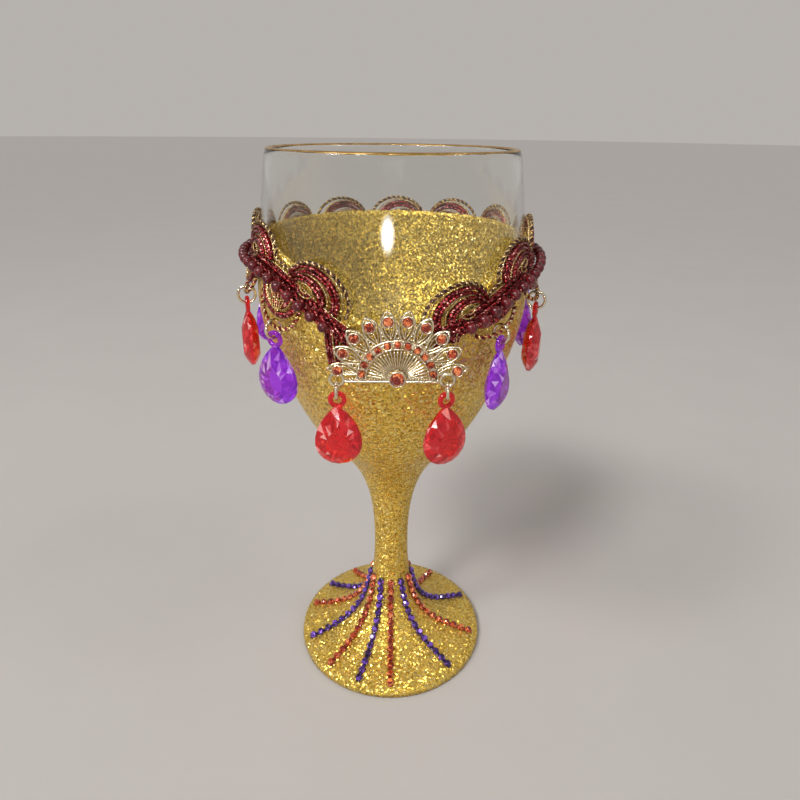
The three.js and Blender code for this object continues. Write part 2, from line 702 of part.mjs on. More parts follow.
function dressedFan() {
  const fan = new THREE.Group();
  const front = -FAN_THICKNESS - BOND;
  fan.position.set(FAN_SHIFT, -fanBack(), FAN_HEIGHT);
  fan.add(mesh('fan_filigree', fanFiligree(), 'fan'));
  const chain = mesh('fan_arc_chain', arcChain(), 'redStone');
  chain.position.y = front;
  fan.add(chain);
  const centre = mesh('fan_centre_stone', cutStone(CENTRE_STONE, STONE_SIDES), 'redStone');
  centre.position.y = front;
  fan.add(centre);
  for (let i = 0; i < FAN_PETALS; i += 1) {
    const stone = mesh(`fan_petal_stone_${i + 1}`, cutStone(PETAL_STONE, STONE_SIDES), 'redStone');
    const turn = rad(petalAngle(i));
    stone.position.set(PETAL_STONE_RADIUS * Math.cos(turn), front, PETAL_STONE_RADIUS * Math.sin(turn));
    fan.add(stone);
  }
  return fan;
}

// A ring and its drop on a carrier whose middle is given, facing the given angle
function pendant(number, colour, place, angle, carrier, twist) {
  const group = new THREE.Group();
  group.position.copy(place);
  group.rotation.z = rad(angle);
  group.add(mesh(`jump_ring_${number}`, jumpRing(carrier), 'ring'));
  const drop = mesh(`${colour}_drop_${number}`, facetedDrop(), `${colour}Stone`);
  drop.position.z = -ringReach(carrier);
  drop.rotation.z = rad(twist);
  group.add(drop);
  return group;
}

function fanPendant(number, reach, twist) {
  const carrier = Math.hypot(FAN_THICKNESS, HANGER_WALL);
  const place = new THREE.Vector3(
    FAN_SHIFT + reach, -fanBack() - FAN_THICKNESS / 2, FAN_HEIGHT + hangerCarrier);
  return pendant(number, 'red', place, 0, carrier, twist);
}

function pendants() {
  const group = new THREE.Group();
  group.add(fanPendant(1, HANGER_LEFT, 0), fanPendant(2, HANGER_RIGHT, RIGHT_DROP_TWIST));
  lobeAngles.forEach((angle, i) => {
    const colour = i % 2 === Math.floor(i / (lobeAngles.length / 2)) ? 'purple' : 'red';
    const place = onBraid(angle, lobeTip(i), LOBE_STAND);
    group.add(pendant(i + 3, colour, place, angle, LOBE_CORD, isFrontLobe(i) ? FRONT_DROP_TWIST : 0));
  });
  return group;
}

function strips() {
  const group = new THREE.Group();
  STRIP_END_ANGLES.forEach((endAngle, i) => {
    const startAngle = (i / STRIP_END_ANGLES.length) * 360;
    const colour = i % 2 === 0 ? 'red' : 'purple';
    group.add(mesh(`${colour}_strip_${i + 1}`, stoneStrip(startAngle, endAngle), `${colour}Stone`));
  });
  return group;
}

const goblet = new THREE.Group();
goblet.add(mesh('goblet_glass', gobletGlass(), 'glass'));
goblet.add(mesh('glitter_coat', glitterCoat(), 'glitter'));
goblet.add(mesh('gilt_rim', giltRim(), 'gilt'));
goblet.add(mesh('braid_ribbon', braidRibbon(), 'braidRed'));
goblet.add(mesh('braid_edge_cord', edgeCord(), 'braidGold'));
goblet.add(mesh('braid_lobe_cord', lobeCord(), 'braidGold'));
goblet.add(mesh('braid_beads', beadRow(), 'bead'));
goblet.add(dressedFan());
goblet.add(pendants());
goblet.add(strips());

export default goblet;
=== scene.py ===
import json
import math

import bmesh
import bpy
import numpy as np
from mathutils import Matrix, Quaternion, Vector

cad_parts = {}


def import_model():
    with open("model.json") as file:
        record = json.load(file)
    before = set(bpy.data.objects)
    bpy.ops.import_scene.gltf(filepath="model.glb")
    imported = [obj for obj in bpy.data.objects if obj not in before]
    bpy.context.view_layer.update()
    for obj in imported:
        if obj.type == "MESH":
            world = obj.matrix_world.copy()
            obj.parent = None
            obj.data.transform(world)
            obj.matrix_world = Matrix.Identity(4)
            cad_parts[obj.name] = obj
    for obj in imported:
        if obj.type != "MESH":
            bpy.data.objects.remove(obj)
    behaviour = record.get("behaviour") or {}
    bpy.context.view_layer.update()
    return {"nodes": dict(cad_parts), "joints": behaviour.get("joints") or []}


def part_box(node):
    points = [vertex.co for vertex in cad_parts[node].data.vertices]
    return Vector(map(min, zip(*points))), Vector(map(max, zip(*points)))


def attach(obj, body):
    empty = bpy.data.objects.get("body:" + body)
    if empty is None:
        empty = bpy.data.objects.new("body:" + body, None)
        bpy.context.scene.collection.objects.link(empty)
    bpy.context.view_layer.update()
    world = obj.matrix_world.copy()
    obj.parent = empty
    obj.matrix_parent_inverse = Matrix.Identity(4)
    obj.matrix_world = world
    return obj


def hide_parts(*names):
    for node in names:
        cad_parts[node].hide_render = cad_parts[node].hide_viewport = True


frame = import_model()
rng = np.random.default_rng(11)

# Sizes are in millimetres and angles in degrees, as in the CAD source; angle 0 is the front
MM = 0.001
# Facets of a cut stone show one of so many tints, chosen at random: painted shade, a middle tint and
# painted light, standing in for the light and shade the cut would catch
LIT_AND_SHADED_TINTS = 3

# Glass
GLASS_HEIGHT, RIM_RADIUS, RIM_LEVER, RIM_FLARE = 184.6, 36.9, 14, 2.4
BELLY_RADIUS, BELLY_HEIGHT, BELLY_LEVER_ABOVE, BELLY_LEVER_BELOW = 41.2, 142, 9, 12
TURN_RADIUS, TURN_HEIGHT, TURN_SLOPE = 22.3, 92, 49.5
TURN_LEVER_ABOVE, TURN_LEVER_BELOW = 13.8, 12.3
STEM_RADIUS, STEM_HEIGHT, STEM_LEVER_ABOVE, STEM_LEVER_BELOW = 5.5, 46, 30, 36
FOOT_RADIUS, FOOT_EDGE, FOOT_CHAMFER, FOOT_REACH, FOOT_RISE = 35.4, 2.2, 0.6, 20, 4.6
BOWL_WALL, BOWL_DIP, BOWL_LOW = 1.8, 8, 98
LIP = 0.9
GILT_REACH, GILT_FROM, GILT_TO = 1.02, 35, 150
ROUND_SEGMENTS = 144

# Coat
COAT = 0.8
COAT_INSIDE = 0.06
COAT_ABOVE_BRAID = 6.2
COAT_GRAIN, COAT_GRAIN_MOST, COAT_RAGGED = 0.1, 0.2, 0.12
COAT_COLUMNS, COAT_ROWS = 216, 120
FLAKE, CLUMP, FLAKE_LEAN = 0.5, 1.1, 1.05

# Braid
BRAID_HEIGHT, BRAID_DIP, BRAID_TURN = 155.8, 18.5, -2.5
BRAID_DIP_LEFT, BRAID_DIP_RIGHT = 32, 48
BAND_START, BAND_WIDTH = 15, 5.2
SCALLOPS, SCALLOP_PITCH, ARCH_WIDTH = 11, 30.4, 19.4
ARCH_HEIGHT, ARCH_FRONT_GAIN, ARCH_GAIN_SPREAD = 10.8, 0.6, 75
EDGE_CORD, EDGE_FOOT, EDGE_STAND = 1.1, 3.8, 1.2
LOBE_REACH, FRONT_LOBE_REACH, LOBE_SPAN = 11.2, 15.3, 21
LOBE_STAND, LOBE_CORD, LOBE_FOOT = 3.6, 1.4, 3.6
BEAD_START, BEAD_END, BEAD_DIAMETER, BEAD_PITCH, BEAD_STAND = 24, 339.5, 3.15, 4.3, 4.0
BEAD_LEAST, BEAD_DIMPLE, BEAD_THREAD = 0.96, 0.12, 0.7
CORD_LAY, LOBE_SEAT = 1.9, 0.1
# Cords of the band by place across and stand off the coat, then their size and length of lay
BAND_STEPS, BAND_CORDS = 331, ((-1.8, 0.9), (0, 1.55), (1.8, 0.9))
BAND_CORD, BAND_LAY = 1.7, 5.0
BACKING_STAND, BACKING_HEIGHT, BACKING_MARGIN = 0.5, 0.8, 0.2
BAND_EDGES, EDGE_THREAD, EDGE_THREAD_STAND = (-2.75, 2.75), 0.5, 0.55
# Cords of the turned-down ends: step aside, size, stand, whether gold
TAIL_ANGLES, TAIL_ENDS = (-22, 22), (131.5, 138.5)
TAIL_CORDS = (
    (-1.35, 1.2, 0.7, False), (0, 1.4, 0.8, False), (1.35, 1.2, 0.7, False),
    (-2.1, 0.5, 0.5, True), (2.1, 0.5, 0.5, True), (0.7, 0.4, 1.5, True),
)

# Fan, with places measured from its centre stone
FAN_SHIFT, FAN_HEIGHT, FAN_FOOT = 1.4, 130, 1.3
FAN_RADIUS, FAN_PETALS, PETAL_ROOT, PETAL_WIDTH = 18.8, 10, 9.6, 4.6
PETAL_STONE, PETAL_STONE_RADIUS = 2.5, 15.8
ARC_RADIUS, ARC_STONES, ARC_STONE = 9.5, 11, 1.95
CENTRE_STONE = 3.6
PETAL_STONE_STAND, PETAL_STONE_RISE = 1.0, 1.6
ARC_STONE_STAND, ARC_STONE_RISE = 0.75, 1.4
CENTRE_STAND, CENTRE_RISE = 1.0, 1.9
HANGERS, HANGER_HEIGHT, HANGER_RADIUS, HANGER_WIRE = (-16, 13.2), -0.3, 1.75, 0.9
FAN_THICKNESS, END_SLIM = 1, 0.5
FAN_MIDDLE = FAN_THICKNESS / 2
# Loops of a petal: how far inside its root, tip and side they stay, then wire width and height
PETAL_LOOPS = ((0, 0.4, 0.3, 0.6, 0.95), (1.4, 1.3, 1.05, 0.34, 0.8))
BEZEL_GAP, BEZEL_STAND, BEZEL_WIRE, BEZEL_HEIGHT = 0.18, 1.1, 0.5, 1.0
SEAT_STANDS, SEAT_MARGIN = (0.35, 0.95), 0.2
VEIN_GAP, VEIN_STAND, VEIN_WIRE, VEIN_HEIGHT = 1.6, 0.45, 0.34, 0.6
TIP_INSET, TIP_STAND, TIP_BEAD = 0.55, 0.75, 0.45
RAYS, RAY_STEPS, RAY_ENDS, RAY_ROOT, RAY_GAP = 25, 6, (6, 174), 2.2, 1.1
RAY_STANDS, RAY_WIDTHS, RAY_HEIGHT = (0.9, 0.55), (0.3, 0.62), 0.7
ARC_STEPS, ARC_ENDS = 61, (-4, 184)
ARC_WIRE_STEP, ARC_WIRE_STAND, ARC_WIRE, ARC_WIRE_HEIGHT = 1.15, 0.7, 0.55, 1.1
ARC_FLOOR_STAND, ARC_FLOOR_WIDTH, ARC_FLOOR_HEIGHT = 0.4, 2.0, 0.5
EYE_PLACE, EYE_RADIUS, EYE_STAND, EYE_WIRE, EYE_HEIGHT = 11.75, 0.62, 0.6, 0.38, 0.7
KNOB_PLACE, KNOB_STAND, KNOB = 13.1, 0.6, 0.42
CLAW_STEP, CLAW_STAND, CLAW = 0.95, 1.35, 0.3
BAR_RISE, BAR_WIDTH, BAR_HEIGHT = 0.5, 1.0, 0.95
BAR_BEAD, BAR_BEAD_RISE, BAR_BEAD_STAND, BAR_BEAD_FROM, BAR_BEAD_PITCH = 0.32, 1.25, 0.75, 0.4, 0.72
BOSS_GAP, BOSS_STAND, BOSS_WIRE, BOSS_HEIGHT = 0.25, 1.0, 0.75, 1.3
BOSS_SEAT, BOSS_MARGIN = (0.1, 1.0), 0.6
# Rings of a round stone's cut: share of its width and of its rise
STONE_CUT = ((0.94, 0.0), (1.0, 0.28), (0.8, 0.68), (0.52, 1.0))

# Rings and drops
RING_RADIUS, RING_WIRE, RING_SLIT = 2.55, 0.9, 7
DROP_WIDTH, DROP_HEIGHT, DROP_DEPTH, DROP_SHOULDER, DROP_FACETS = 13, 18, 5, 5.5, 20
LOOP_RADIUS, LOOP_WIRE, LOOP_CENTRE = 1.85, 1.4, -0.42
DROP_TWISTS = {2: 25, 3: 18, 12: 18}
FAN_CARRIER = math.hypot(FAN_THICKNESS, HANGER_WIRE)
LINK_GAP = 0.28
# A drop's cut: shares of its width, and how far every second corner of the crown moves out and in
TABLE, CROWN, KITE_REACH, KITE_DIP = 0.5, 0.76, 0.05, 0.07
CROWN_DEPTH, GIRDLE = 0.66, 0.2
DROP_LEVELS = (
    (TABLE, -1.0), (CROWN, -CROWN_DEPTH), (1.0, -GIRDLE),
    (1.0, GIRDLE), (CROWN, CROWN_DEPTH), (TABLE, 1.0),
)
DROP_WIDEST = DROP_WIDTH / 2 - DROP_HEIGHT
DROP_TOP = LOOP_CENTRE - LOOP_RADIUS + LOOP_WIRE / 4
# Facets draw their tint from this list: painted shade, the middle tint, painted light, or now and then a
# painted glint; faces within the blend of the top belong to the loop
FACET_LIT_AND_SHADED_TINTS = (0, 0, 0, 0, 1, 1, 1, 1, 1, 2, 2, 3)
TABLE_TINT, LOOP_TINT, LOOP_BLEND = 1, 1, 0.4

# Strips of stones on the foot
STRIP_TOP, STRIP_PITCH, STRIP_MARGIN = 32, 3.1, 1
STRIP_STONE, STRIP_RISE, STRIP_SEAT, STRIP_TILT = 2.9, 1.5, 0.2, 0.05
STRIP_TAPE_WIDTH, STRIP_TAPE_HEIGHT, STRIP_TAPE_LIFT = 1.8, 0.7, 0.15
STRIP_ENDS = (0, 42, 77, 113, 147, 180, 210, 233, 256, 288, 316, 339)

# Camera of the photograph
CAMERA_PLACE = (0, -190, 190.95)
CAMERA_LENS, CAMERA_SENSOR = 27.045, 36
CAMERA_PITCH, CAMERA_YAW, CAMERA_ROLL = 24.712, 0.849, 0.674


def unit(rows):
    """Vectors made one unit long."""
    rows = np.asarray(rows, float)
    return rows / np.linalg.norm(rows, axis=-1, keepdims=True)


def around(angle, radius, height):
    """A place round the axis."""
    turn = np.radians(angle)
    return np.stack(np.broadcast_arrays(radius * np.sin(turn), -radius * np.cos(turn), height), -1)


def outward(path):
    """The way out from the axis at each point of a path."""
    return unit(np.asarray(path, float) * (1, 1, 0))


def travel(path):
    """How far along a path each of its points is."""
    return np.concatenate(([0], np.cumsum(np.linalg.norm(np.diff(path, axis=0), axis=1))))


def resample(path, step):
    """The same path with its points about one step apart."""
    reach = travel(path)
    marks = np.linspace(0, reach[-1], max(int(round(reach[-1] / step)), 2) + 1)
    return np.stack([np.interp(marks, reach, path[:, k]) for k in range(path.shape[1])], -1)


def section_ways(path, up, looped):
    """The sideways and upward directions of a cord's section at each point."""
    if looped:
        run = np.roll(path, -1, 0) - np.roll(path, 1, 0)
    else:
        run = np.gradient(path, axis=0)
    run = unit(run)
    side = unit(np.cross(up, run))
    return side, np.cross(run, side)


class Shape:
    """Faces gathered for one piece; chart holds each corner's way along and round a cord."""

    def __init__(self):
        self.points, self.faces, self.marks, self.soft, self.chart = [], [], [], [], []

    def add(self, points, faces, mark=0, soft=True, chart=None):
        start = len(self.points)
        self.points.extend(map(tuple, np.asarray(points, float).reshape(-1, 3)))
        self.marks.extend(int(m) for m in np.broadcast_to(mark, len(faces)))
        self.soft.extend(bool(m) for m in np.broadcast_to(soft, len(faces)))
        for k, face in enumerate(faces):
            self.faces.append([start + i for i in face])
            self.chart.extend(chart[k] if chart else [(0.0, 0.0)] * len(face))

    def skin(self, rows, mark=0, soft=True, looped=False):
        """A closed skin through equal rings of points, looped or capped at both ends."""
        rows = np.asarray(rows, float)
        count, sides = rows.shape[:2]
        reach = travel(np.vstack((rows.mean(1), rows[:1].mean(1))))
        faces, chart = [], []
        for i in range(count if looped else count - 1):
            near, far = i * sides, (i + 1) % count * sides
            for j in range(sides):
                k = (j + 1) % sides
                low, high = j / sides, (j + 1) / sides
                faces.append((near + j, near + k, far + k, far + j))
                chart.append(((reach[i], low), (reach[i], high), (reach[i + 1], high), (reach[i + 1], low)))
        if not looped:
            for ring in (range(sides), range((count - 1) * sides, count * sides)):
                faces.append(tuple(ring))
                chart.append([(0.0, 0.0)] * sides)
        self.add(rows, faces, mark, soft, chart)

    def cord(self, path, up, width, height=None, sides=8, looped=False, mark=0):
        """A cord of oval section along a path."""
        path = np.asarray(path, float)
        side, lift = section_ways(path, up, looped)
        turn = (np.arange(sides) + 0.5) / sides * 2 * np.pi
        across = np.multiply.outer(np.broadcast_to(width, len(path)) / 2, np.cos(turn))
        tall = width if height is None else height
        rise = np.multiply.outer(np.broadcast_to(tall, len(path)) / 2, np.sin(turn))
        rows = path[:, None] + side[:, None] * across[..., None] + lift[:, None] * rise[..., None]
        self.skin(rows, mark, True, looped)

    def twist(self, path, up, size, pitch, marks, sides=6, step=0.4):
        """Plies laid round each other along a path, one for each mark."""
        path = resample(np.asarray(path, float), step)
        ways = up(path) if callable(up) else np.broadcast_to(up, path.shape)
        side, lift = section_ways(path, ways, False)
        turn = travel(path) / pitch * 2 * np.pi
        ply = size * 0.54
        for k, mark in enumerate(marks):
            phase = turn + 2 * np.pi * k / len(marks)
            lay = side * np.cos(phase)[:, None] + lift * np.sin(phase)[:, None]
            self.cord(path + lay * (size - ply) / 2, ways, ply, sides=sides, mark=mark)

    def gem(self, rings):
        """A cut stone through rings of equal count, each turned half a step past the last."""
        count = len(rings[0])
        last = (len(rings) - 1) * count
        faces = [tuple(range(count)), tuple(range(last, last + count))]
        for low in range(0, last, count):
            high = low + count
            for i in range(count):
                j = (i + 1) % count
                faces.append((low + i, low + j, high + i))
                faces.append((low + j, high + j, high + i))
        # Each facet takes one of the lit and shaded tints at random: painted shade, the middle tint or
        # painted light.
        self.add(np.vstack(rings), faces, rng.integers(LIT_AND_SHADED_TINTS, size=len(faces)), False)

    def ball(self, centre, axis, radius, mark=0, sides=12, dimple=0.0):
        """A bead with its poles on an axis; a dimple sinks the poles for a thread."""
        axis = unit(axis)
        side = unit(np.cross(axis, (0.31, 0.52, 0.79)))
        lift = np.cross(axis, side)
        polar = np.linspace(0.12, math.pi - 0.12, sides // 2 + 2)
        turn = np.arange(sides) / sides * 2 * np.pi
        spread = np.cos(turn)[:, None] * side + np.sin(turn)[:, None] * lift
        reach = np.cos(polar) * (1 - dimple * np.cos(polar) ** 8)
        rows = centre + radius * (np.sin(polar)[:, None, None] * spread + reach[:, None, None] * axis)
        self.skin(rows, mark)


def piece(name, shape, materials, nodes=(), body="goblet", weld=False):
    """One object of the model, in the CAD frame, riding on a body."""
    mesh = bpy.data.meshes.new(name)
    mesh.from_pydata([tuple(np.array(p) * MM) for p in shape.points], [], shape.faces)
    mesh.uv_layers.new(name="chart").data.foreach_set("uv", np.ravel(shape.chart))
    mesh.polygons.foreach_set("material_index", shape.marks)
    mesh.polygons.foreach_set("use_smooth", shape.soft)
    build = bmesh.new()
    build.from_mesh(mesh)
    if weld:
        bmesh.ops.remove_doubles(build, verts=build.verts, dist=0.001 * MM)
    bmesh.ops.recalc_face_normals(build, faces=build.faces)
    build.to_mesh(mesh)
    build.free()
    for material in materials:
        mesh.materials.append(material)
    made = bpy.data.objects.new(name, mesh)
    bpy.context.collection.objects.link(made)
    if nodes:
        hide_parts(*nodes)
    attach(made, body)
    return made


# Materials

def new_material(name, **values):
    """A material with its Principled shader; values go straight onto the shader's sockets."""
    material = bpy.data.materials.new(name)
    material.use_nodes = True
    tree = material.node_tree
    shader = tree.nodes["Principled BSDF"]
    feed(tree, shader, {key.replace("_", " "): value for key, value in values.items()})
    return material, tree, shader


def feed(tree, node, values):
    """Sets or links a node's inputs."""
    for key, value in values.items():
        if isinstance(value, bpy.types.NodeSocket):
            tree.links.new(value, node.inputs[key])
        else:
            node.inputs[key].default_value = value


def grow(tree, kind, values=None, **settings):
    """A new node with its settings and inputs."""
    node = tree.nodes.new(kind)
    for key, value in settings.items():
        setattr(node, key, value)
    feed(tree, node, values or {})
    return node


def ramp(tree, factor, *stops):
    """A colour ramp through (place, colour) stops."""
    node = grow(tree, "ShaderNodeValToRGB", {"Fac": factor})
    elements = node.color_ramp.elements
    while len(elements) < len(stops):
        elements.new(1.0)
    for element, (place, colour) in zip(elements, stops):
        element.position = place
        element.color = (*colour, 1)
    return node.outputs["Color"]


def spread(tree, factor, low, high):
    """A factor from 0 to 1 moved into another range."""
    node = grow(tree, "ShaderNodeMapRange", {"Value": factor, "To Min": low, "To Max": high})
    return node.outputs["Result"]


def place(tree):
    """The piece's own coordinates, in metres."""
    return grow(tree, "ShaderNodeTexCoord").outputs["Object"]


def noise(tree, size, detail=3.0):
    """Soft noise whose blotches are about a size in millimetres across."""
    values = {"Vector": place(tree), "Scale": 1 / (size * MM), "Detail": detail}
    return grow(tree, "ShaderNodeTexNoise", values).outputs["Fac"]


def cells(tree, size):
    """Random cells about a size in millimetres across."""
    return grow(tree, "ShaderNodeTexVoronoi", {"Vector": place(tree), "Scale": 1 / (size * MM)})


def bump(tree, height, depth, strength=0.5):
    """A bump whose depth is in millimetres."""
    values = {"Height": height, "Distance": depth * MM, "Strength": strength}
    return grow(tree, "ShaderNodeBump", values).outputs["Normal"]


def let_lamps_through(tree, shader, tint):
    """Shadow rays pass the shader with a tint, so that lamps light what is inside or behind."""
    clear = grow(tree, "ShaderNodeBsdfTransparent", {"Color": (*tint, 1)})
    ray = grow(tree, "ShaderNodeLightPath")
    mix = grow(tree, "ShaderNodeMixShader", {0: ray.outputs["Is Shadow Ray"]})
    tree.links.new(shader.outputs["BSDF"], mix.inputs[1])
    tree.links.new(clear.outputs["BSDF"], mix.inputs[2])
    tree.links.new(mix.outputs["Shader"], tree.nodes["Material Output"].inputs["Surface"])


def clear_glass():
    material, tree, shader = new_material(
        "clear_glass", Base_Color=(0.98, 0.99, 0.985, 1), Transmission_Weight=1.0, IOR=1.5)
    feed(tree, shader, {"Roughness": spread(tree, noise(tree, 14), 0.0, 0.02)})
    let_lamps_through(tree, shader, (0.94, 0.95, 0.94))
    return material


def tinted(tree, colour, shade):
    """A colour multiplied by a shade."""
    values = {0: 1.0, 6: colour, 7: shade}
    return grow(tree, "ShaderNodeMix", values, data_type="RGBA", blend_type="MULTIPLY").outputs[2]


def vector_math(tree, operation, values):
    return grow(tree, "ShaderNodeVectorMath", values, operation=operation).outputs["Vector"]


def gold_glitter():
    """Coarse flakes: each cell has its own tint, gloss and lean."""
    material, tree, shader = new_material("gold_glitter", Metallic=0.72)
    flakes, clumps = cells(tree, FLAKE), cells(tree, CLUMP)
    parts = grow(tree, "ShaderNodeSeparateColor", {"Color": flakes.outputs["Color"]})
    tint = ramp(
        tree, parts.outputs["Red"], (0.0, (0.42, 0.26, 0.03)), (0.45, (0.88, 0.60, 0.098)),
        (0.8, (1.0, 0.71, 0.165)), (1.0, (1.0, 0.89, 0.42)))
    shade = ramp(tree, clumps.outputs["Distance"], (0.0, (1, 1, 1)), (0.9, (0.80, 0.76, 0.66)))
    lean = vector_math(tree, "SUBTRACT", {0: flakes.outputs["Color"], 1: (0.5, 0.5, 0.5)})
    lean = vector_math(tree, "SCALE", {0: lean, "Scale": FLAKE_LEAN})
    facing = grow(tree, "ShaderNodeNewGeometry").outputs["Normal"]
    leaning = vector_math(tree, "ADD", {0: facing, 1: lean})
    feed(tree, shader, {
        "Base Color": tinted(tree, tint, shade),
        "Roughness": spread(tree, parts.outputs["Green"], 0.16, 0.42),
        "Normal": vector_math(tree, "NORMALIZE", {0: leaning}),
    })
    return material


def metal(name, dark, light, rough, blotch):
    """A metal whose tint and gloss wander a little."""
    material, tree, shader = new_material(name, Metallic=1.0)
    grain = noise(tree, blotch, 5.0)
    feed(tree, shader, {
        "Base Color": ramp(tree, grain, (0.3, dark), (0.65, light)),
        "Roughness": spread(tree, noise(tree, blotch * 2.3), *rough),
        "Normal": bump(tree, grain, 0.05),
    })
    return material


def thread(name, dark, light, glint, metallic, rough, rib):
    """Thread laid aslant round a cord: ribs follow the cord's own chart. The grooves between ribs are
    darkened with painted shade, and the brightest flecks are painted glints.
    """
    material, tree, shader = new_material(name, Metallic=metallic)
    chart = grow(tree, "ShaderNodeTexCoord").outputs["UV"]
    laid = grow(tree, "ShaderNodeMapping", {"Vector": chart, "Scale": (1 / rib, 1.0, 1.0)})
    ribs = grow(tree, "ShaderNodeTexWave", {
        "Vector": laid.outputs["Vector"], "Scale": 0.32, "Distortion": 0.6, "Detail": 1.0,
    }, bands_direction="DIAGONAL").outputs["Fac"]
    fleck_and_glint = cells(tree, 0.4)
    parts = grow(tree, "ShaderNodeSeparateColor", {"Color": fleck_and_glint.outputs["Color"]})
    # Random flecks from dark to light thread; the last stop is a painted glint.
    tint = ramp(tree, parts.outputs["Red"], (0.1, dark), (0.82, light), (0.96, glint))
    # Painted shade: the low side of each rib, its groove, is darkened.
    shade = ramp(tree, ribs, (0.0, (0.6, 0.6, 0.6)), (0.6, (1, 1, 1)))
    feed(tree, shader, {
        "Base Color": tinted(tree, tint, shade),
        "Roughness": spread(tree, parts.outputs["Green"], *rough),
        "Normal": bump(tree, ribs, 0.12, 0.7),
    })
    return material


def pearl():
    material, tree, shader = new_material(
        "maroon_pearl", Specular_IOR_Level=0.35, Coat_Weight=0.3, Coat_Roughness=0.05)
    wash = noise(tree, 1.6)
    feed(tree, shader, {
        "Base Color": ramp(tree, wash, (0.3, (0.040, 0.001, 0.003)), (0.7, (0.13, 0.004, 0.008))),
        "Roughness": spread(tree, noise(tree, 0.7), 0.22, 0.4),
        "Normal": bump(tree, wash, 0.03),
    })
    return material


def foiled_stone(name, dark, light):
    """Small stones with a foil behind: body colour under a hard gloss."""
    material, tree, shader = new_material(name, Metallic=0.45, Coat_Weight=0.8, Coat_Roughness=0.03)
    wash = noise(tree, 1.1, 2.0)
    feed(tree, shader, {
        "Base Color": ramp(tree, wash, (0.3, dark), (0.7, light)),
        "Roughness": spread(tree, noise(tree, 0.6), 0.06, 0.2),
    })
    return material


def acrylic(name, dark, light, clear, shadow):
    """Tinted acrylic, clear by a share, with a faint cloud inside."""
    material, tree, shader = new_material(name, Transmission_Weight=clear, IOR=1.49)
    wash = noise(tree, 4.0, 2.0)
    feed(tree, shader, {
        "Base Color": ramp(tree, wash, (0.3, dark), (0.7, light)),
        "Roughness": spread(tree, noise(tree, 1.5), 0.01, 0.06),
    })
    let_lamps_through(tree, shader, shadow)
    return material


GLASS = clear_glass()
GLITTER = gold_glitter()
GILT = metal("gilt_rim_gold", (0.40, 0.22, 0.06), (0.66, 0.43, 0.16), (0.18, 0.36), 3.0)
FAN_METAL = metal("champagne_metal", (0.60, 0.50, 0.33), (0.85, 0.77, 0.59), (0.14, 0.32), 1.2)
WIRE = metal("pale_wire", (0.62, 0.52, 0.34), (0.85, 0.78, 0.60), (0.14, 0.30), 1.0)
RED_THREAD = thread(
    "red_thread", (0.025, 0.001, 0.001), (0.34, 0.010, 0.014), (0.95, 0.40, 0.34), 0.7, (0.16, 0.36), 0.5)
GOLD_THREAD = thread(
    "gold_thread", (0.46, 0.25, 0.06), (0.88, 0.64, 0.27), (1.0, 0.92, 0.66), 0.85, (0.18, 0.36), 0.35)
DARK_THREAD = thread(
    "dark_thread", (0.014, 0.004, 0.003), (0.10, 0.030, 0.016), (0.55, 0.36, 0.14), 0.6, (0.25, 0.45), 0.4)
PEARL = pearl()
# Cut stones: painted shade, a middle tint and painted light for each colour, given to facets at random, and
# a painted glint for the drops; the strips' tape takes the shade tint as its own dark colour
RED_STONES_LIT_AND_SHADED = [
    foiled_stone("red_stone_painted_shade_and_tape", (0.14, 0.008, 0.003), (0.24, 0.018, 0.007)),
    foiled_stone("red_stone_middle", (0.40, 0.040, 0.010), (0.58, 0.080, 0.020)),
    foiled_stone("red_stone_painted_light", (0.74, 0.15, 0.040), (0.98, 0.36, 0.14)),
]
PURPLE_STONES_LIT_AND_SHADED = [
    foiled_stone("purple_stone_painted_shade_and_tape", (0.010, 0.003, 0.026), (0.024, 0.007, 0.070)),
    foiled_stone("purple_stone_middle", (0.032, 0.008, 0.12), (0.062, 0.015, 0.22)),
    foiled_stone("purple_stone_painted_light", (0.15, 0.050, 0.48), (0.30, 0.13, 0.80)),
]
RED_SHADOW, PURPLE_SHADOW = (0.9, 0.25, 0.22), (0.6, 0.3, 0.85)
RED_ACRYLICS_LIT_AND_SHADED = [
    acrylic("red_acrylic_painted_shade", (0.44, 0.002, 0.008), (0.60, 0.006, 0.014), 0.8, RED_SHADOW),
    acrylic("red_acrylic_middle", (0.76, 0.016, 0.030), (0.92, 0.034, 0.048), 0.85, RED_SHADOW),
    acrylic("red_acrylic_painted_light", (1.0, 0.09, 0.10), (1.0, 0.21, 0.20), 0.75, RED_SHADOW),
    acrylic("red_acrylic_painted_glint", (1.0, 0.40, 0.37), (1.0, 0.60, 0.56), 0.6, RED_SHADOW),
]
PURPLE_ACRYLICS_LIT_AND_SHADED = [
    acrylic("purple_acrylic_painted_shade", (0.24, 0.012, 0.58), (0.34, 0.022, 0.72), 0.8, PURPLE_SHADOW),
    acrylic("purple_acrylic_middle", (0.42, 0.038, 0.82), (0.53, 0.066, 0.95), 0.85, PURPLE_SHADOW),
    acrylic("purple_acrylic_painted_light", (0.62, 0.20, 0.96), (0.76, 0.36, 1.0), 0.7, PURPLE_SHADOW),
    acrylic("purple_acrylic_painted_glint", (0.80, 0.52, 1.0), (0.90, 0.70, 1.0), 0.6, PURPLE_SHADOW),
]


# Glass, coat and rim

def bezier(a, b, c, d, count):
    t = np.linspace(0, 1, count + 1)[:, None]
    a, b, c, d = (np.array(p, float) for p in (a, b, c, d))
    return (1 - t) ** 3 * a + 3 * (1 - t) ** 2 * t * b + 3 * (1 - t) * t * t * c + t ** 3 * d


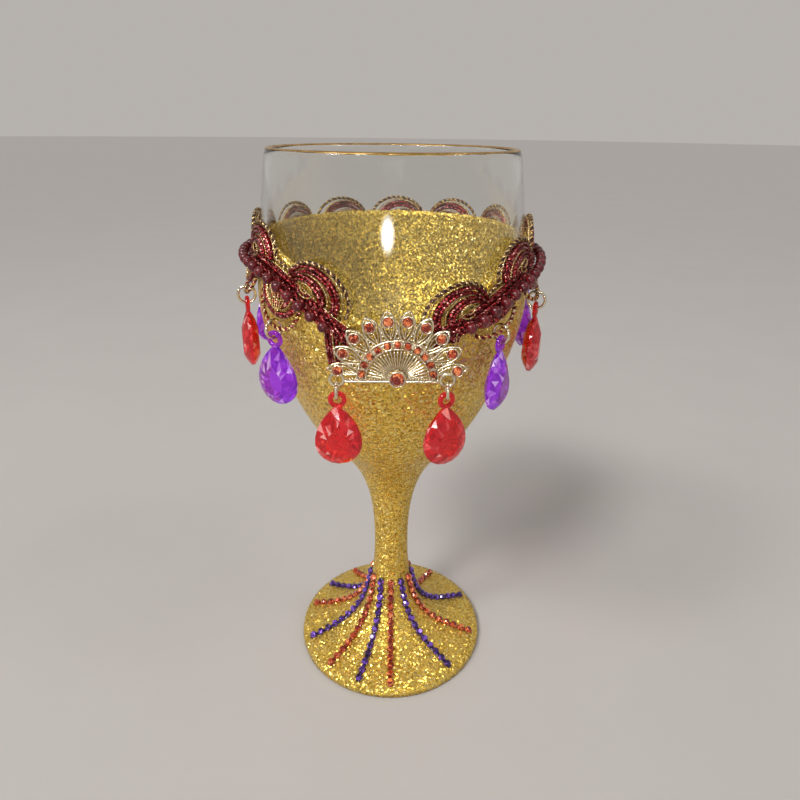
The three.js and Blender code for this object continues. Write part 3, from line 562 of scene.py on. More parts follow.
def glass_line():
    """Outline of the glass from the foot's edge up to the rim, as radius and height."""
    slope = math.radians(TURN_SLOPE)
    along = np.array((math.cos(slope), math.sin(slope)))
    turn = np.array((TURN_RADIUS, TURN_HEIGHT))
    edge, waist = (FOOT_RADIUS, FOOT_EDGE), (STEM_RADIUS, STEM_HEIGHT)
    belly, rim = (BELLY_RADIUS, BELLY_HEIGHT), (RIM_RADIUS, GLASS_HEIGHT)
    side = np.linspace((FOOT_RADIUS, FOOT_CHAMFER), edge, 4)
    foot = bezier(edge, (FOOT_RADIUS - FOOT_REACH, FOOT_EDGE + FOOT_RISE),
                  (STEM_RADIUS, STEM_HEIGHT - STEM_LEVER_BELOW), waist, 34)
    stem = bezier(waist, (STEM_RADIUS, STEM_HEIGHT + STEM_LEVER_ABOVE),
                  turn - along * TURN_LEVER_BELOW, turn, 22)
    cup = bezier(turn, turn + along * TURN_LEVER_ABOVE,
                 (BELLY_RADIUS, BELLY_HEIGHT - BELLY_LEVER_BELOW), belly, 26)
    upper = bezier(belly, (BELLY_RADIUS, BELLY_HEIGHT + BELLY_LEVER_ABOVE),
                   (RIM_RADIUS + RIM_FLARE, GLASS_HEIGHT - RIM_LEVER), rim, 22)
    return np.vstack((side, foot[1:], stem[1:], cup[1:], upper[1:]))


def offset(line, distance):
    """The same outline a distance further out."""
    run = unit(np.gradient(line, axis=0))
    return line + np.stack((run[:, 1], -run[:, 0]), -1) * distance


GLASS_LINE = glass_line()
COAT_LINE = offset(GLASS_LINE, COAT)


def coat_radius(height):
    return np.interp(height, COAT_LINE[:, 1], COAT_LINE[:, 0])


def revolve(shape, profile, segments=ROUND_SEGMENTS):
    """A closed profile of radius and height, turned once round the axis."""
    angles = np.arange(segments) / segments * 360
    profile = np.asarray(profile, float)
    shape.skin([around(angle, profile[:, 0], profile[:, 1]) for angle in angles], looped=True)


def half_round(centre, radius, start, end, count):
    """Part of a circle in the plane of radius and height."""
    turn = np.radians(np.linspace(start, end, count + 1))
    return np.stack((centre[0] + radius * np.cos(turn), centre[1] + radius * np.sin(turn)), -1)


LIP_CENTRE = (RIM_RADIUS - LIP, GLASS_HEIGHT - LIP)


def goblet_glass():
    outer = GLASS_LINE[GLASS_LINE[:, 1] < GLASS_HEIGHT - LIP]
    inside = offset(GLASS_LINE, -BOWL_WALL)
    inside = inside[(inside[:, 1] > BOWL_LOW) & (inside[:, 1] < GLASS_HEIGHT - LIP)][::-1]
    low = inside[-1]
    floor = low[1] - BOWL_DIP
    bend = np.array((low[0] - BOWL_DIP / math.tan(math.radians(TURN_SLOPE)), floor))
    t = np.linspace(0, 1, 13)[1:, None]
    bottom = (1 - t) ** 2 * low + 2 * (1 - t) * t * bend + t * t * np.array((0, floor))
    profile = np.vstack((
        [(0, 0), (FOOT_RADIUS - FOOT_CHAMFER, 0)], outer,
        half_round(LIP_CENTRE, LIP, 0, 180, 10), inside, bottom))
    shape = Shape()
    revolve(shape, profile)
    piece("goblet_glass_clear", shape, [GLASS], ["goblet_glass"], weld=True)


def gilt_rim():
    profile = np.vstack((
        half_round(LIP_CENTRE, GILT_REACH, GILT_FROM, GILT_TO, 16),
        half_round(LIP_CENTRE, LIP + 0.02, GILT_TO, GILT_FROM, 16)))
    shape = Shape()
    revolve(shape, profile)
    piece("gilt_rim_band", shape, [GILT], ["gilt_rim"])


def glitter_coat():
    """The coat on foot, stem and bowl; its outside is grained and its top follows the braid."""
    reach = travel(GLASS_LINE)
    inner, outer = offset(GLASS_LINE, COAT_INSIDE), COAT_LINE
    rows = []
    for column in range(COAT_COLUMNS):
        angle = column / COAT_COLUMNS * 360
        top = np.interp(braid_height(angle) + COAT_ABOVE_BRAID, GLASS_LINE[:, 1], reach)
        ragged = top + rng.normal(0, COAT_RAGGED)
        marks = np.linspace(0, ragged, COAT_ROWS)
        grain = rng.normal(0, COAT_GRAIN, COAT_ROWS).clip(-COAT_GRAIN_MOST, 0)
        out = np.stack([np.interp(marks, reach, outer[:, k]) for k in (0, 1)], -1)
        back = np.stack([np.interp(marks, reach, inner[:, k]) for k in (0, 1)], -1)
        out[:, 0] += grain
        line = np.vstack((out, back[::-1]))
        rows.append(around(angle, line[:, 0], line[:, 1]))
    shape = Shape()
    shape.skin(rows, looped=True)
    piece("gold_glitter_coat", shape, [GLITTER], ["glitter_coat"])


# Braid

def from_front(angle):
    """How far an angle is from the middle of the dip."""
    return (np.asarray(angle, float) - BRAID_TURN + 180) % 360 - 180


def front_share(angle, reach):
    """How much of a change at the front is felt at an angle, from 1 in front to 0 behind."""
    return np.exp(-((from_front(angle) / reach) ** 2))


def braid_height(angle):
    reach = np.where(from_front(angle) < 0, BRAID_DIP_LEFT, BRAID_DIP_RIGHT)
    return BRAID_HEIGHT - BRAID_DIP * front_share(angle, reach)


def on_braid(angle, across, stand):
    """A place on the braid, above its middle line by across and off the coat by stand."""
    height = braid_height(angle) + across
    return around(angle, coat_radius(height) + stand, height)


def in_slant(angle, along, across, stand):
    """A place in the slant the braid has at an angle: along it, square to it, and off the coat."""
    turn = math.degrees(1 / BELLY_RADIUS)
    slope = float(braid_height(angle + turn / 2) - braid_height(angle - turn / 2))
    run = unit((1, slope))
    height = braid_height(angle) + along * run[1] + across * run[0]
    return around(angle + (along * run[0] - across * run[1]) * turn, coat_radius(height) + stand, height)


def half_oval(foot, crown, count=36):
    """Half an oval from -1 to 1 along, rising from foot to crown; its rise is given as a share too."""
    turn = np.linspace(math.pi, 0, count + 1)
    return np.cos(turn), foot + (crown - foot) * np.sin(turn), np.sin(turn)


def scallop_arch(middle, width, foot, crown, stand, shift=0.0):
    """An arch that stands square on the braid."""
    along, across, _ = half_oval(foot, crown)
    return in_slant(middle, shift + width / 2 * along, across, stand)


def lobe_loop(middle, span, foot, tip, stand, tip_stand):
    """A loop that hangs on the braid and lifts off the coat at its tip."""
    along, across, share = half_oval(foot, tip)
    return on_braid(middle + span / 2 * along, across, stand + (tip_stand - stand) * share)


def arch_rise(angle):
    return ARCH_HEIGHT + ARCH_FRONT_GAIN * front_share(angle, ARCH_GAIN_SPREAD)


SCALLOP_ANGLES = 180 + BRAID_TURN + (np.arange(SCALLOPS) - (SCALLOPS - 1) / 2) * SCALLOP_PITCH
LOBE_ANGLES = SCALLOP_ANGLES[1:] - SCALLOP_PITCH / 2
LOBE_REACHES = [FRONT_LOBE_REACH] + [LOBE_REACH] * (SCALLOPS - 3) + [FRONT_LOBE_REACH]
LOBE_TIPS = BRAID_HEIGHT - np.array(LOBE_REACHES) - braid_height(LOBE_ANGLES)
# Nested arches of a scallop: width, foot, share of the rise, cord width, cord height, whether gold
ARCHES = (
    (17.4, 3.2, 0.90, 0.45, 1.0, True),
    (15.2, 2.8, 0.72, 2.3, 1.9, False),
    (12.4, 2.6, 0.53, 0.45, 1.3, True),
    (10.2, 2.4, 0.37, 2.1, 1.8, False),
    (7.4, 2.4, 0.20, 0.45, 1.3, True),
)
# Arches crowd towards the side away from the fan and are thicker on the other
ARCH_CROWD, ARCH_SWELL = 0.6, 0.22
# The hook inside a scallop: its turn in half circles, the sizes of its spiral, its middle and its thread
HOOK_TURN, HOOK_SIZES, HOOK_STEPS = (-0.6, 1.9), (2.1, 0.7), 40
HOOK_ALONG, HOOK_ACROSS, HOOK_STRETCH, HOOK_STAND, HOOK_THREAD = 3.0, 3.4, 1.4, 1.9, 0.45
# Nested loops of a lobe: share of the span, share of the depth, cord width, whether gold
LOBE_LOOPS = ((0.86, 1.0, 1.9, False), (0.7, 0.82, 0.45, True), (0.58, 0.68, 1.9, False),
              (0.42, 0.5, 0.45, True), (0.3, 0.36, 1.9, False))
# They hang from the band and end above the lobe's tip, clear of the ring that passes there
LOBE_TOP, RING_ROOM, LOBE_LIFT = -1.8, 3.6, 1.9
LOBE_LOOP_STAND, LOBE_LOOP_HEIGHT = 0.8, 1.5
# Threads over a lobe by their place, how deep they go, and how they spread, close and lean
LOBE_THREADS = (-6.2, -4.4, -2.6, -0.8, 1.0, 2.8, 4.6)
THREAD_REACH, THREAD_TAPER = 0.72, 0.035
THREAD_SPREAD, THREAD_CLOSE, THREAD_LEAN = 1.15, 0.7, 1.2
THREAD_TOP, THREAD_STAND, THREAD_LIFT, THREAD_SIZE = -2.2, 1.7, 1.592, 0.3


def red_and_gold_cords():
    """The ribbon's red cords and the gold threads sewn along them."""
    red, gold = Shape(), Shape()
    angles = np.linspace(BAND_START, 360 - BAND_START, BAND_STEPS)
    for across, stand in BAND_CORDS:
        red.twist(on_braid(angles, across, stand), outward, BAND_CORD, BAND_LAY, (0, 0))
    backing = on_braid(angles, 0, BACKING_STAND)
    red.cord(backing, outward(backing), BAND_WIDTH - BACKING_MARGIN, BACKING_HEIGHT)
    for across in BAND_EDGES:
        edge = on_braid(angles, across, EDGE_THREAD_STAND)
        gold.cord(edge, outward(edge), EDGE_THREAD, sides=6)
    for middle in SCALLOP_ANGLES:
        scallop(red, gold, middle)
    for middle, tip in zip(LOBE_ANGLES, LOBE_TIPS):
        lobe(red, gold, middle, tip)
    for angle, end in zip(TAIL_ANGLES, TAIL_ENDS):
        tail(red, gold, angle, end)
    piece("braid_red_cords", red, [RED_THREAD], ["braid_ribbon"])
    piece("braid_gold_threads", gold, [GOLD_THREAD])


def scallop(red, gold, middle):
    """Nested arches of paired cord that flow into a comma, with a gold hook curled up inside."""
    rise, lean = float(arch_rise(middle)), float(np.sign(from_front(middle)))
    along = half_oval(0, 1)[0]
    for width, foot, share, cord_width, cord_height, is_gold in ARCHES:
        shift = lean * (ARCH_WIDTH - width) / 2 * ARCH_CROWD
        swell = 1 - ARCH_SWELL * lean * along
        crown = foot + (rise - foot) * share
        if is_gold:
            path = scallop_arch(middle, width, foot, crown, cord_height / 2, shift)
            gold.cord(path, outward(path), cord_width, cord_height)
            continue
        for side in (-1, 1):
            path = scallop_arch(middle, width + side * cord_width / 2, foot, crown + side * cord_width / 4,
                                cord_height / 2, shift)
            red.cord(path, outward(path), cord_width / 2 * swell, cord_height, sides=10)
    turn = np.linspace(*HOOK_TURN, HOOK_STEPS) * math.pi
    size = np.linspace(*HOOK_SIZES, HOOK_STEPS)
    reach = lean * (HOOK_ALONG - size * np.cos(turn) * HOOK_STRETCH)
    hook = in_slant(middle, reach, HOOK_ACROSS + size * np.sin(turn), HOOK_STAND)
    gold.cord(hook, outward(hook), HOOK_THREAD, sides=6)


def lobe(red, gold, middle, tip):
    """Nested loops below the band, with slanting gold threads over them."""
    for span_share, depth_share, width, is_gold in LOBE_LOOPS:
        low = LOBE_TOP + (tip + RING_ROOM - LOBE_TOP) * depth_share
        path = lobe_loop(middle, LOBE_SPAN * span_share, LOBE_TOP, low,
                         LOBE_LOOP_STAND, LOBE_LOOP_STAND + LOBE_LIFT * depth_share)
        (gold if is_gold else red).cord(path, outward(path), width, LOBE_LOOP_HEIGHT)
    share = np.linspace(0, 1, 9)
    for slant in LOBE_THREADS:
        low = tip * (THREAD_REACH - THREAD_TAPER * abs(slant))
        angles = middle + slant * (THREAD_SPREAD - THREAD_CLOSE * share) + THREAD_LEAN * share
        across = THREAD_TOP + (low - THREAD_TOP) * share
        path = on_braid(angles, across, THREAD_STAND + THREAD_LIFT * share)
        gold.cord(path, outward(path), THREAD_SIZE, sides=6)


def tail(red, gold, angle, end):
    """The end of the ribbon, turned down beside the fan."""
    heights = np.linspace(float(braid_height(angle)), end, 17)
    for shift, size, stand, is_gold in TAIL_CORDS:
        path = around(angle + math.degrees(shift / BELLY_RADIUS), coat_radius(heights) + stand, heights)
        (gold if is_gold else red).cord(path, outward(path), size)


def edge_cord():
    """A dark and a gold ply twisted together over every scallop."""
    arches = [scallop_arch(a, ARCH_WIDTH, EDGE_FOOT, arch_rise(a), EDGE_STAND) for a in SCALLOP_ANGLES]
    shape = Shape()
    shape.twist(np.vstack(arches), outward, EDGE_CORD, CORD_LAY, (0, 1, 1), step=0.25)
    piece("braid_edge_twist", shape, [GOLD_THREAD, DARK_THREAD], ["braid_edge_cord"])


def lobe_cord():
    """A red and a gold ply twisted together round the lower lobes; it lifts off at each tip."""
    low = LOBE_CORD / 2 + LOBE_SEAT
    loops = []
    for middle, tip in zip(LOBE_ANGLES, LOBE_TIPS):
        if loops:
            loops.append(on_braid(np.array([middle - SCALLOP_PITCH / 2]), -LOBE_FOOT, low))
        loops.append(lobe_loop(middle, LOBE_SPAN, -LOBE_FOOT, tip, low, LOBE_STAND))
    shape = Shape()
    shape.twist(np.vstack(loops), outward, LOBE_CORD, CORD_LAY, (0, 1), step=0.3)
    piece("braid_lobe_twist", shape, [GOLD_THREAD, RED_THREAD], ["braid_lobe_cord"])


def bead_row():
    """Pearls threaded along the middle of the braid."""
    thread_path = on_braid(np.linspace(BEAD_START, BEAD_END, 321), 0, BEAD_STAND)
    count = int(round(travel(thread_path)[-1] / BEAD_PITCH))
    ends = resample(thread_path, travel(thread_path)[-1] / (2 * count))
    shape = Shape()
    run = np.gradient(ends, axis=0)
    for centre, way in zip(ends[1::2], run[1::2]):
        size = BEAD_DIAMETER / 2 * rng.uniform(BEAD_LEAST, 1.0)
        shape.ball(centre, way, size, sides=16, dimple=BEAD_DIMPLE)
    shape.cord(thread_path, outward(thread_path), BEAD_THREAD, mark=1)
    piece("braid_pearl_row", shape, [PEARL, RED_THREAD], ["braid_beads"])


# Fan

FAN_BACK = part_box("fan_filigree")[1][1] / MM
FAN_OUT = np.array((0, -1.0, 0))


def on_fan(across, up, stand):
    """A place on the fan: across and up from its centre stone, forward from its back by stand."""
    across, up, stand = np.broadcast_arrays(across, up, stand)
    return np.stack((FAN_SHIFT + across, FAN_BACK - stand, FAN_HEIGHT + up), -1)


def fan_ray(angle, radius, stand, side=0.0):
    """A place on a ray of the fan, with a step to its side."""
    turn = np.radians(angle)
    across = radius * np.cos(turn) - side * np.sin(turn)
    up = radius * np.sin(turn) + side * np.cos(turn)
    return on_fan(across, up, stand)


def fan_circle(shape, centre, radius, stand, wire, tall=None, count=28):
    """A ring of wire on the fan."""
    turn = np.arange(count) / count * 2 * np.pi
    path = on_fan(centre[0] + radius * np.cos(turn), centre[1] + radius * np.sin(turn), stand)
    shape.cord(path, FAN_OUT, wire, tall, looped=True)


def ray_point(angle, radius):
    return radius * math.cos(math.radians(angle)), radius * math.sin(math.radians(angle))


PETAL_ANGLES = [(i + 0.5) / FAN_PETALS * 180 for i in range(FAN_PETALS)]
# The end petals are slim on their lower side, clear of the rings that swing there
PETAL_SIDES = {PETAL_ANGLES[0]: (1, END_SLIM), PETAL_ANGLES[-1]: (END_SLIM, 1)}
ARC_ANGLES = [(i + 0.5) / ARC_STONES * 180 for i in range(ARC_STONES)]


def petal_loop(shape, angle, root, tip, half_width, wire, tall):
    """A pointed loop of wire along a ray of the fan."""
    share = np.linspace(0, 1, 17)
    half = half_width * np.sin(np.pi * share ** 1.25) ** 0.72
    reach = root + (tip - root) * share
    right_share, left_share = PETAL_SIDES.get(angle, (1, 1))
    right = fan_ray(angle, reach, FAN_MIDDLE, half * right_share)
    left = fan_ray(angle, reach, FAN_MIDDLE, -half * left_share)
    shape.cord(np.vstack((right, left[::-1][1:-1])), FAN_OUT, wire, tall, looped=True)


def petal_wires(shape, angle):
    """Two loops, one in the other, with a bezel, a vein and a bead at the tip."""
    for root, tip, side, wire, tall in PETAL_LOOPS:
        petal_loop(shape, angle, PETAL_ROOT + root, FAN_RADIUS - tip, PETAL_WIDTH / 2 - side, wire, tall)
    stone = ray_point(angle, PETAL_STONE_RADIUS)
    fan_circle(shape, stone, PETAL_STONE / 2 + BEZEL_GAP, BEZEL_STAND, BEZEL_WIRE, BEZEL_HEIGHT)
    vein = fan_ray(angle, np.linspace(PETAL_ROOT, PETAL_STONE_RADIUS - VEIN_GAP, 5), VEIN_STAND)
    shape.cord(vein, FAN_OUT, VEIN_WIRE, VEIN_HEIGHT, sides=6)
    shape.ball(fan_ray(angle, FAN_RADIUS - TIP_INSET, TIP_STAND), FAN_OUT, TIP_BEAD, sides=8)
    seat = fan_ray(angle, PETAL_STONE_RADIUS, np.array(SEAT_STANDS))
    shape.cord(seat, (0, 0, 1), PETAL_STONE + SEAT_MARGIN, sides=16)


def arc_wires(shape):
    """Two arcs of wire with a floor between them, where the chain of stones sits."""
    angles = np.linspace(*ARC_ENDS, ARC_STEPS)
    for radius in (ARC_RADIUS - ARC_WIRE_STEP, ARC_RADIUS + ARC_WIRE_STEP):
        shape.cord(fan_ray(angles, radius, ARC_WIRE_STAND), FAN_OUT, ARC_WIRE, ARC_WIRE_HEIGHT)
    seat = fan_ray(angles, ARC_RADIUS, ARC_FLOOR_STAND)
    shape.cord(seat, FAN_OUT, ARC_FLOOR_WIDTH, ARC_FLOOR_HEIGHT)


def eyes_and_claws(shape):
    """An eye and a knob between petals, and claws between the stones of the chain."""
    for angle in np.arange(1, FAN_PETALS) * 180 / FAN_PETALS:
        fan_circle(shape, ray_point(angle, EYE_PLACE), EYE_RADIUS, EYE_STAND, EYE_WIRE, EYE_HEIGHT, 14)
        shape.ball(fan_ray(angle, KNOB_PLACE, KNOB_STAND), FAN_OUT, KNOB, sides=8)
    for angle in np.arange(ARC_STONES + 1) * 180 / ARC_STONES:
        for radius in (ARC_RADIUS - CLAW_STEP, ARC_RADIUS + CLAW_STEP):
            shape.ball(fan_ray(angle, radius, CLAW_STAND), FAN_OUT, CLAW, sides=8)


def shell_rays(shape):
    """Fine rays that widen from the boss to the chain of stones."""
    reach = np.linspace(RAY_ROOT, ARC_RADIUS - RAY_GAP, RAY_STEPS)
    for angle in np.linspace(*RAY_ENDS, RAYS):
        ray = fan_ray(angle, reach, np.linspace(*RAY_STANDS, RAY_STEPS))
        shape.cord(ray, FAN_OUT, np.linspace(*RAY_WIDTHS, RAY_STEPS), RAY_HEIGHT, sides=6)


def base_bar(shape):
    """A beaded bar between the hangers."""
    ends = HANGERS[0] + HANGER_RADIUS, HANGERS[1] - HANGER_RADIUS
    bar = on_fan(np.linspace(*ends, 40), BAR_RISE - FAN_FOOT, FAN_MIDDLE)
    shape.cord(bar, FAN_OUT, BAR_WIDTH, BAR_HEIGHT, sides=10)
    for across in np.arange(ends[0] + BAR_BEAD_FROM, ends[1], BAR_BEAD_PITCH):
        shape.ball(on_fan(across, BAR_BEAD_RISE - FAN_FOOT, BAR_BEAD_STAND), FAN_OUT, BAR_BEAD, sides=8)


def boss_and_hangers(shape):
    """The seat of the centre stone, and the two loops that carry rings."""
    fan_circle(shape, (0, 0), CENTRE_STONE / 2 + BOSS_GAP, BOSS_STAND, BOSS_WIRE, BOSS_HEIGHT, 36)
    shape.cord(on_fan(0, 0, np.array(BOSS_SEAT)), (0, 0, 1), CENTRE_STONE + BOSS_MARGIN, sides=24)
    for across in HANGERS:
        fan_circle(shape, (across, HANGER_HEIGHT), HANGER_RADIUS, FAN_MIDDLE, HANGER_WIRE, FAN_THICKNESS)


def fan_filigree():
    shape = Shape()
    for angle in PETAL_ANGLES:
        petal_wires(shape, angle)
    arc_wires(shape)
    eyes_and_claws(shape)
    shell_rays(shape)
    base_bar(shape)
    boss_and_hangers(shape)
    piece("fan_filigree_wire", shape, [FAN_METAL], ["fan_filigree"])


def round_stone(shape, centre, out, diameter, rise, sides=8, spin=0.0):
    """A round cut stone with a flat back at its centre."""
    out = unit(out)
    side = unit(np.cross(out, (0.13, 0.21, 0.97)))
    lift = np.cross(out, side)
    rings = []
    for k, (wide, high) in enumerate(STONE_CUT):
        turn = (np.arange(sides) + k / 2 + spin) / sides * 2 * np.pi
        spokes = np.cos(turn)[:, None] * side + np.sin(turn)[:, None] * lift
        rings.append(centre + spokes * diameter / 2 * wide + out * rise * high)
    shape.gem(rings)


def fan_stones():
    chain = Shape()
    for angle in ARC_ANGLES:
        seat = fan_ray(angle, ARC_RADIUS, ARC_STONE_STAND)
        round_stone(chain, seat, FAN_OUT, ARC_STONE, ARC_STONE_RISE, spin=rng.uniform())
    piece("fan_arc_stones", chain, RED_STONES_LIT_AND_SHADED, ["fan_arc_chain"])
    centre = Shape()
    round_stone(centre, on_fan(0.0, 0.0, CENTRE_STAND), FAN_OUT, CENTRE_STONE, CENTRE_RISE, 12)
    piece("fan_boss_stone", centre, RED_STONES_LIT_AND_SHADED, ["fan_centre_stone"])
    for i, angle in enumerate(PETAL_ANGLES, 1):
        stone = Shape()
        seat = fan_ray(angle, PETAL_STONE_RADIUS, PETAL_STONE_STAND)
        round_stone(stone, seat, FAN_OUT, PETAL_STONE, PETAL_STONE_RISE, 10, spin=rng.uniform())
        piece(f"petal_stone_{i}", stone, RED_STONES_LIT_AND_SHADED, [f"fan_petal_stone_{i}"])


# Rings and drops

def pear(count):
    """Outline of a drop by equal steps round it, from its top; across and up."""
    half = DROP_WIDTH / 2
    widest = half - DROP_HEIGHT
    t = np.linspace(0, 1, 25)[:, None]
    control = np.array((half, -DROP_SHOULDER))
    right = 2 * (1 - t) * t * control + t * t * np.array((half, widest))
    turn = np.linspace(0, -math.pi, 41)[1:]
    below = np.stack((half * np.cos(turn), widest + half * np.sin(turn)), -1)
    left = right[::-1][1:] * (-1, 1)
    line = np.vstack((right, below, left))
    marks = (np.arange(count) / count) * travel(line)[-1]
    return np.stack([np.interp(marks, travel(line), line[:, k]) for k in (0, 1)], -1)


def temporary(shape):
    """An object that is only used to join shapes."""
    mesh = bpy.data.meshes.new("join")
    mesh.from_pydata(shape.points, [], shape.faces)
    build = bmesh.new()
    build.from_mesh(mesh)
    bmesh.ops.recalc_face_normals(build, faces=build.faces)
    build.to_mesh(mesh)
    build.free()
    made = bpy.data.objects.new("join", mesh)
    bpy.context.collection.objects.link(made)
    return made


def drop_rings():
    """Corners of a drop's facets from table to table, each ring half a step past the last."""
    dense = pear(2 * DROP_FACETS)
    kite = np.where(np.arange(DROP_FACETS) % 2, 1, -1)
    rings = []
    for k, (scale, depth) in enumerate(DROP_LEVELS):
        line = np.roll(dense, -k, 0)[::2]
        if scale == CROWN:
            scale, depth = scale + KITE_REACH * kite, depth - np.sign(depth) * KITE_DIP * kite
        rings.append(np.stack((
            line[:, 0] * np.ravel(scale),
            np.broadcast_to(depth * DROP_DEPTH / 2, DROP_FACETS),
            DROP_TOP + DROP_WIDEST + (line[:, 1] - DROP_WIDEST) * np.ravel(scale)), -1))
    return rings


def joined(body, ear):
    """Points and faces of two temporary objects made one."""
    union = body.modifiers.new("union", "BOOLEAN")
    union.operation, union.solver, union.object = "UNION", "EXACT", ear
    bpy.context.view_layer.update()
    mesh = body.evaluated_get(bpy.context.evaluated_depsgraph_get()).to_mesh()
    points = np.array([tuple(v.co) for v in mesh.vertices])
    faces = [tuple(p.vertices) for p in mesh.polygons]
    for used in (body, ear):
        bpy.data.objects.remove(used)
    return points, faces


def faceted_drop():
    """Points and faces of a cut drop joined to its moulded loop; the ring's wire is the origin."""
    stone, loop = Shape(), Shape()
    stone.gem(drop_rings())
    turn = np.arange(32) / 32 * 2 * np.pi
    path = np.stack((LOOP_RADIUS * np.cos(turn), 0 * turn, LOOP_CENTRE + LOOP_RADIUS * np.sin(turn)), -1)
    loop.cord(path, (0, 1, 0), LOOP_WIRE, sides=12, looped=True)
    return joined(temporary(stone), temporary(loop))


def pendants():
    """Each ring is an open turn of wire; each drop faces away from the goblet."""
    joints = {joint["name"]: joint for joint in frame["joints"]}
    points, faces = faceted_drop()
    corners = np.array([len(f) for f in faces])
    is_cut = np.array([points[list(f), 2].min() < DROP_TOP - LOOP_BLEND for f in faces]) | (corners == 3)
    is_table = corners > DROP_FACETS / 2
    for number in range(1, 13):
        swing, sway = joints[f"ring_{number}_swing"], joints[f"drop_{number}_sway"]
        pivot, link = np.array(swing["pos_m"]) / MM, np.array(sway["pos_m"]) / MM
        tangent = -np.array(swing["axis"])
        facing = np.array((tangent[1], -tangent[0], 0))
        jump_ring(number, pivot, facing, FAN_CARRIER if number <= 2 else LOBE_CORD)
        twist = math.radians(DROP_TWISTS.get(number, 0))
        across = math.cos(twist) * tangent - math.sin(twist) * facing
        inwards = np.cross((0, 0, 1), across)
        drop = Shape()
        placed = link + points @ np.vstack((across, inwards, (0, 0, 1)))
        # Cut facets take painted shade, the middle tint, painted light or a painted glint at random; the
        # table and the loop take the middle tint.
        marks = np.where(is_cut, rng.choice(FACET_LIT_AND_SHADED_TINTS, len(faces)), LOOP_TINT)
        marks[is_table] = TABLE_TINT
        drop.add(placed, faces, marks, ~is_cut)
        node = next(n for n in frame["nodes"] if n.endswith(f"_drop_{number}"))
        colour = node.split("_")[0]
        shaded_tints = RED_ACRYLICS_LIT_AND_SHADED if colour == "red" else PURPLE_ACRYLICS_LIT_AND_SHADED
        piece(f"{colour}_cut_drop_{number}", drop, shaded_tints, [node], f"drop_{number}")


def jump_ring(number, pivot, facing, carrier):
    """An open ring in the upright plane of its facing, with a narrow slit at one side."""
    hang = RING_RADIUS - RING_WIRE / 2 - LINK_GAP - carrier / 2
    turn = np.radians(np.linspace(40 + RING_SLIT, 400, 49))
    centre = pivot - np.array((0, 0, hang))
    path = centre + RING_RADIUS * (np.cos(turn)[:, None] * facing + np.sin(turn)[:, None] * (0, 0, 1))
    shape = Shape()
    shape.cord(path, np.cross(facing, (0, 0, 1)), RING_WIRE, sides=10)
    piece(f"wire_ring_{number}", shape, [WIRE], [f"jump_ring_{number}"], f"ring_{number}")


# Strips of stones

def foot_run():
    """The coat's line over the foot, from the stem down and out to the edge, and its normals."""
    run = unit(np.gradient(COAT_LINE, axis=0))
    normals = np.stack((run[:, 1], -run[:, 0]), -1)
    on_foot = (COAT_LINE[:, 1] <= STRIP_TOP) & (COAT_LINE[:, 0] <= FOOT_RADIUS - STRIP_MARGIN)
    return COAT_LINE[on_foot][::-1], normals[on_foot][::-1]


def stone_strips():
    """Twelve curved strips of round stones on a narrow tape, red and purple by turns."""
    line, normals = foot_run()
    reach = travel(line)
    count = int(reach[-1] / STRIP_PITCH)

    def along(share, values):
        return np.stack([np.interp(np.asarray(share) * reach[-1], reach, values[:, k]) for k in (0, 1)], -1)

    for i, end in enumerate(STRIP_ENDS):
        start = i * 360 / len(STRIP_ENDS)
        colour = ("red", "purple")[i % 2]
        shape = Shape()
        share = np.linspace(0, 1, 41)
        angles = start + (end - start) * np.sin(share * math.pi / 2)
        seat, up = along(share, line), along(share, normals)
        path = around(angles, seat[:, 0], seat[:, 1])
        ways = around(angles, up[:, 0], up[:, 1])
        # The tape takes the first tint, which on the stones is painted shade, as its own dark colour.
        shape.cord(path + ways * STRIP_TAPE_LIFT, ways, STRIP_TAPE_WIDTH, STRIP_TAPE_HEIGHT)
        for k in range(count):
            middle = (k + 0.5) / count
            at = np.array([np.interp(middle, share, path[:, axis]) for axis in range(3)])
            way = unit(np.array([np.interp(middle, share, ways[:, axis]) for axis in range(3)]))
            way = unit(way + rng.normal(0, STRIP_TILT, 3))
            round_stone(shape, at + way * STRIP_SEAT, way, STRIP_STONE, STRIP_RISE, spin=rng.uniform())
        shaded_tints = RED_STONES_LIT_AND_SHADED if colour == "red" else PURPLE_STONES_LIT_AND_SHADED
        node = f"{colour}_strip_{i + 1}"
        piece(f"{colour}_stone_row_{i + 1}", shape, shaded_tints, [node])


# Stage, light and camera

FLOOR_COLOUR, FLOOR_SHADE, FLOOR_BLOTCH = (0.47, 0.443, 0.42), 0.97, 60
FLOOR_RADIUS, FLOOR_SIDES = 9000, 96
SKY_COLOUR, SKY_STRENGTH = (1.0, 0.98, 0.96), 0.45
# How steeply a lamp's face fades, and how much brighter its middle then is than an even face
LAMP_FADE = 3
LAMP_PEAK = (LAMP_FADE + 1) * (LAMP_FADE + 2) / 2


def floor():
    """A wide plain pale floor with a faint grain."""
    material, tree, shader = new_material("pale_floor", Roughness=0.7)
    darker = tuple(c * FLOOR_SHADE for c in FLOOR_COLOUR)
    tint = ramp(tree, noise(tree, FLOOR_BLOTCH, 4.0), (0.3, darker), (0.7, FLOOR_COLOUR))
    feed(tree, shader, {"Base Color": tint})
    mesh = bpy.data.meshes.new("floor")
    angles = np.arange(FLOOR_SIDES) / FLOOR_SIDES * 360
    rim = around(angles + 90, FLOOR_RADIUS * MM, 0)
    mesh.from_pydata([tuple(corner) for corner in rim], [], [tuple(range(FLOOR_SIDES))])
    mesh.materials.append(material)
    made = bpy.data.objects.new("floor", mesh)
    bpy.context.collection.objects.link(made)


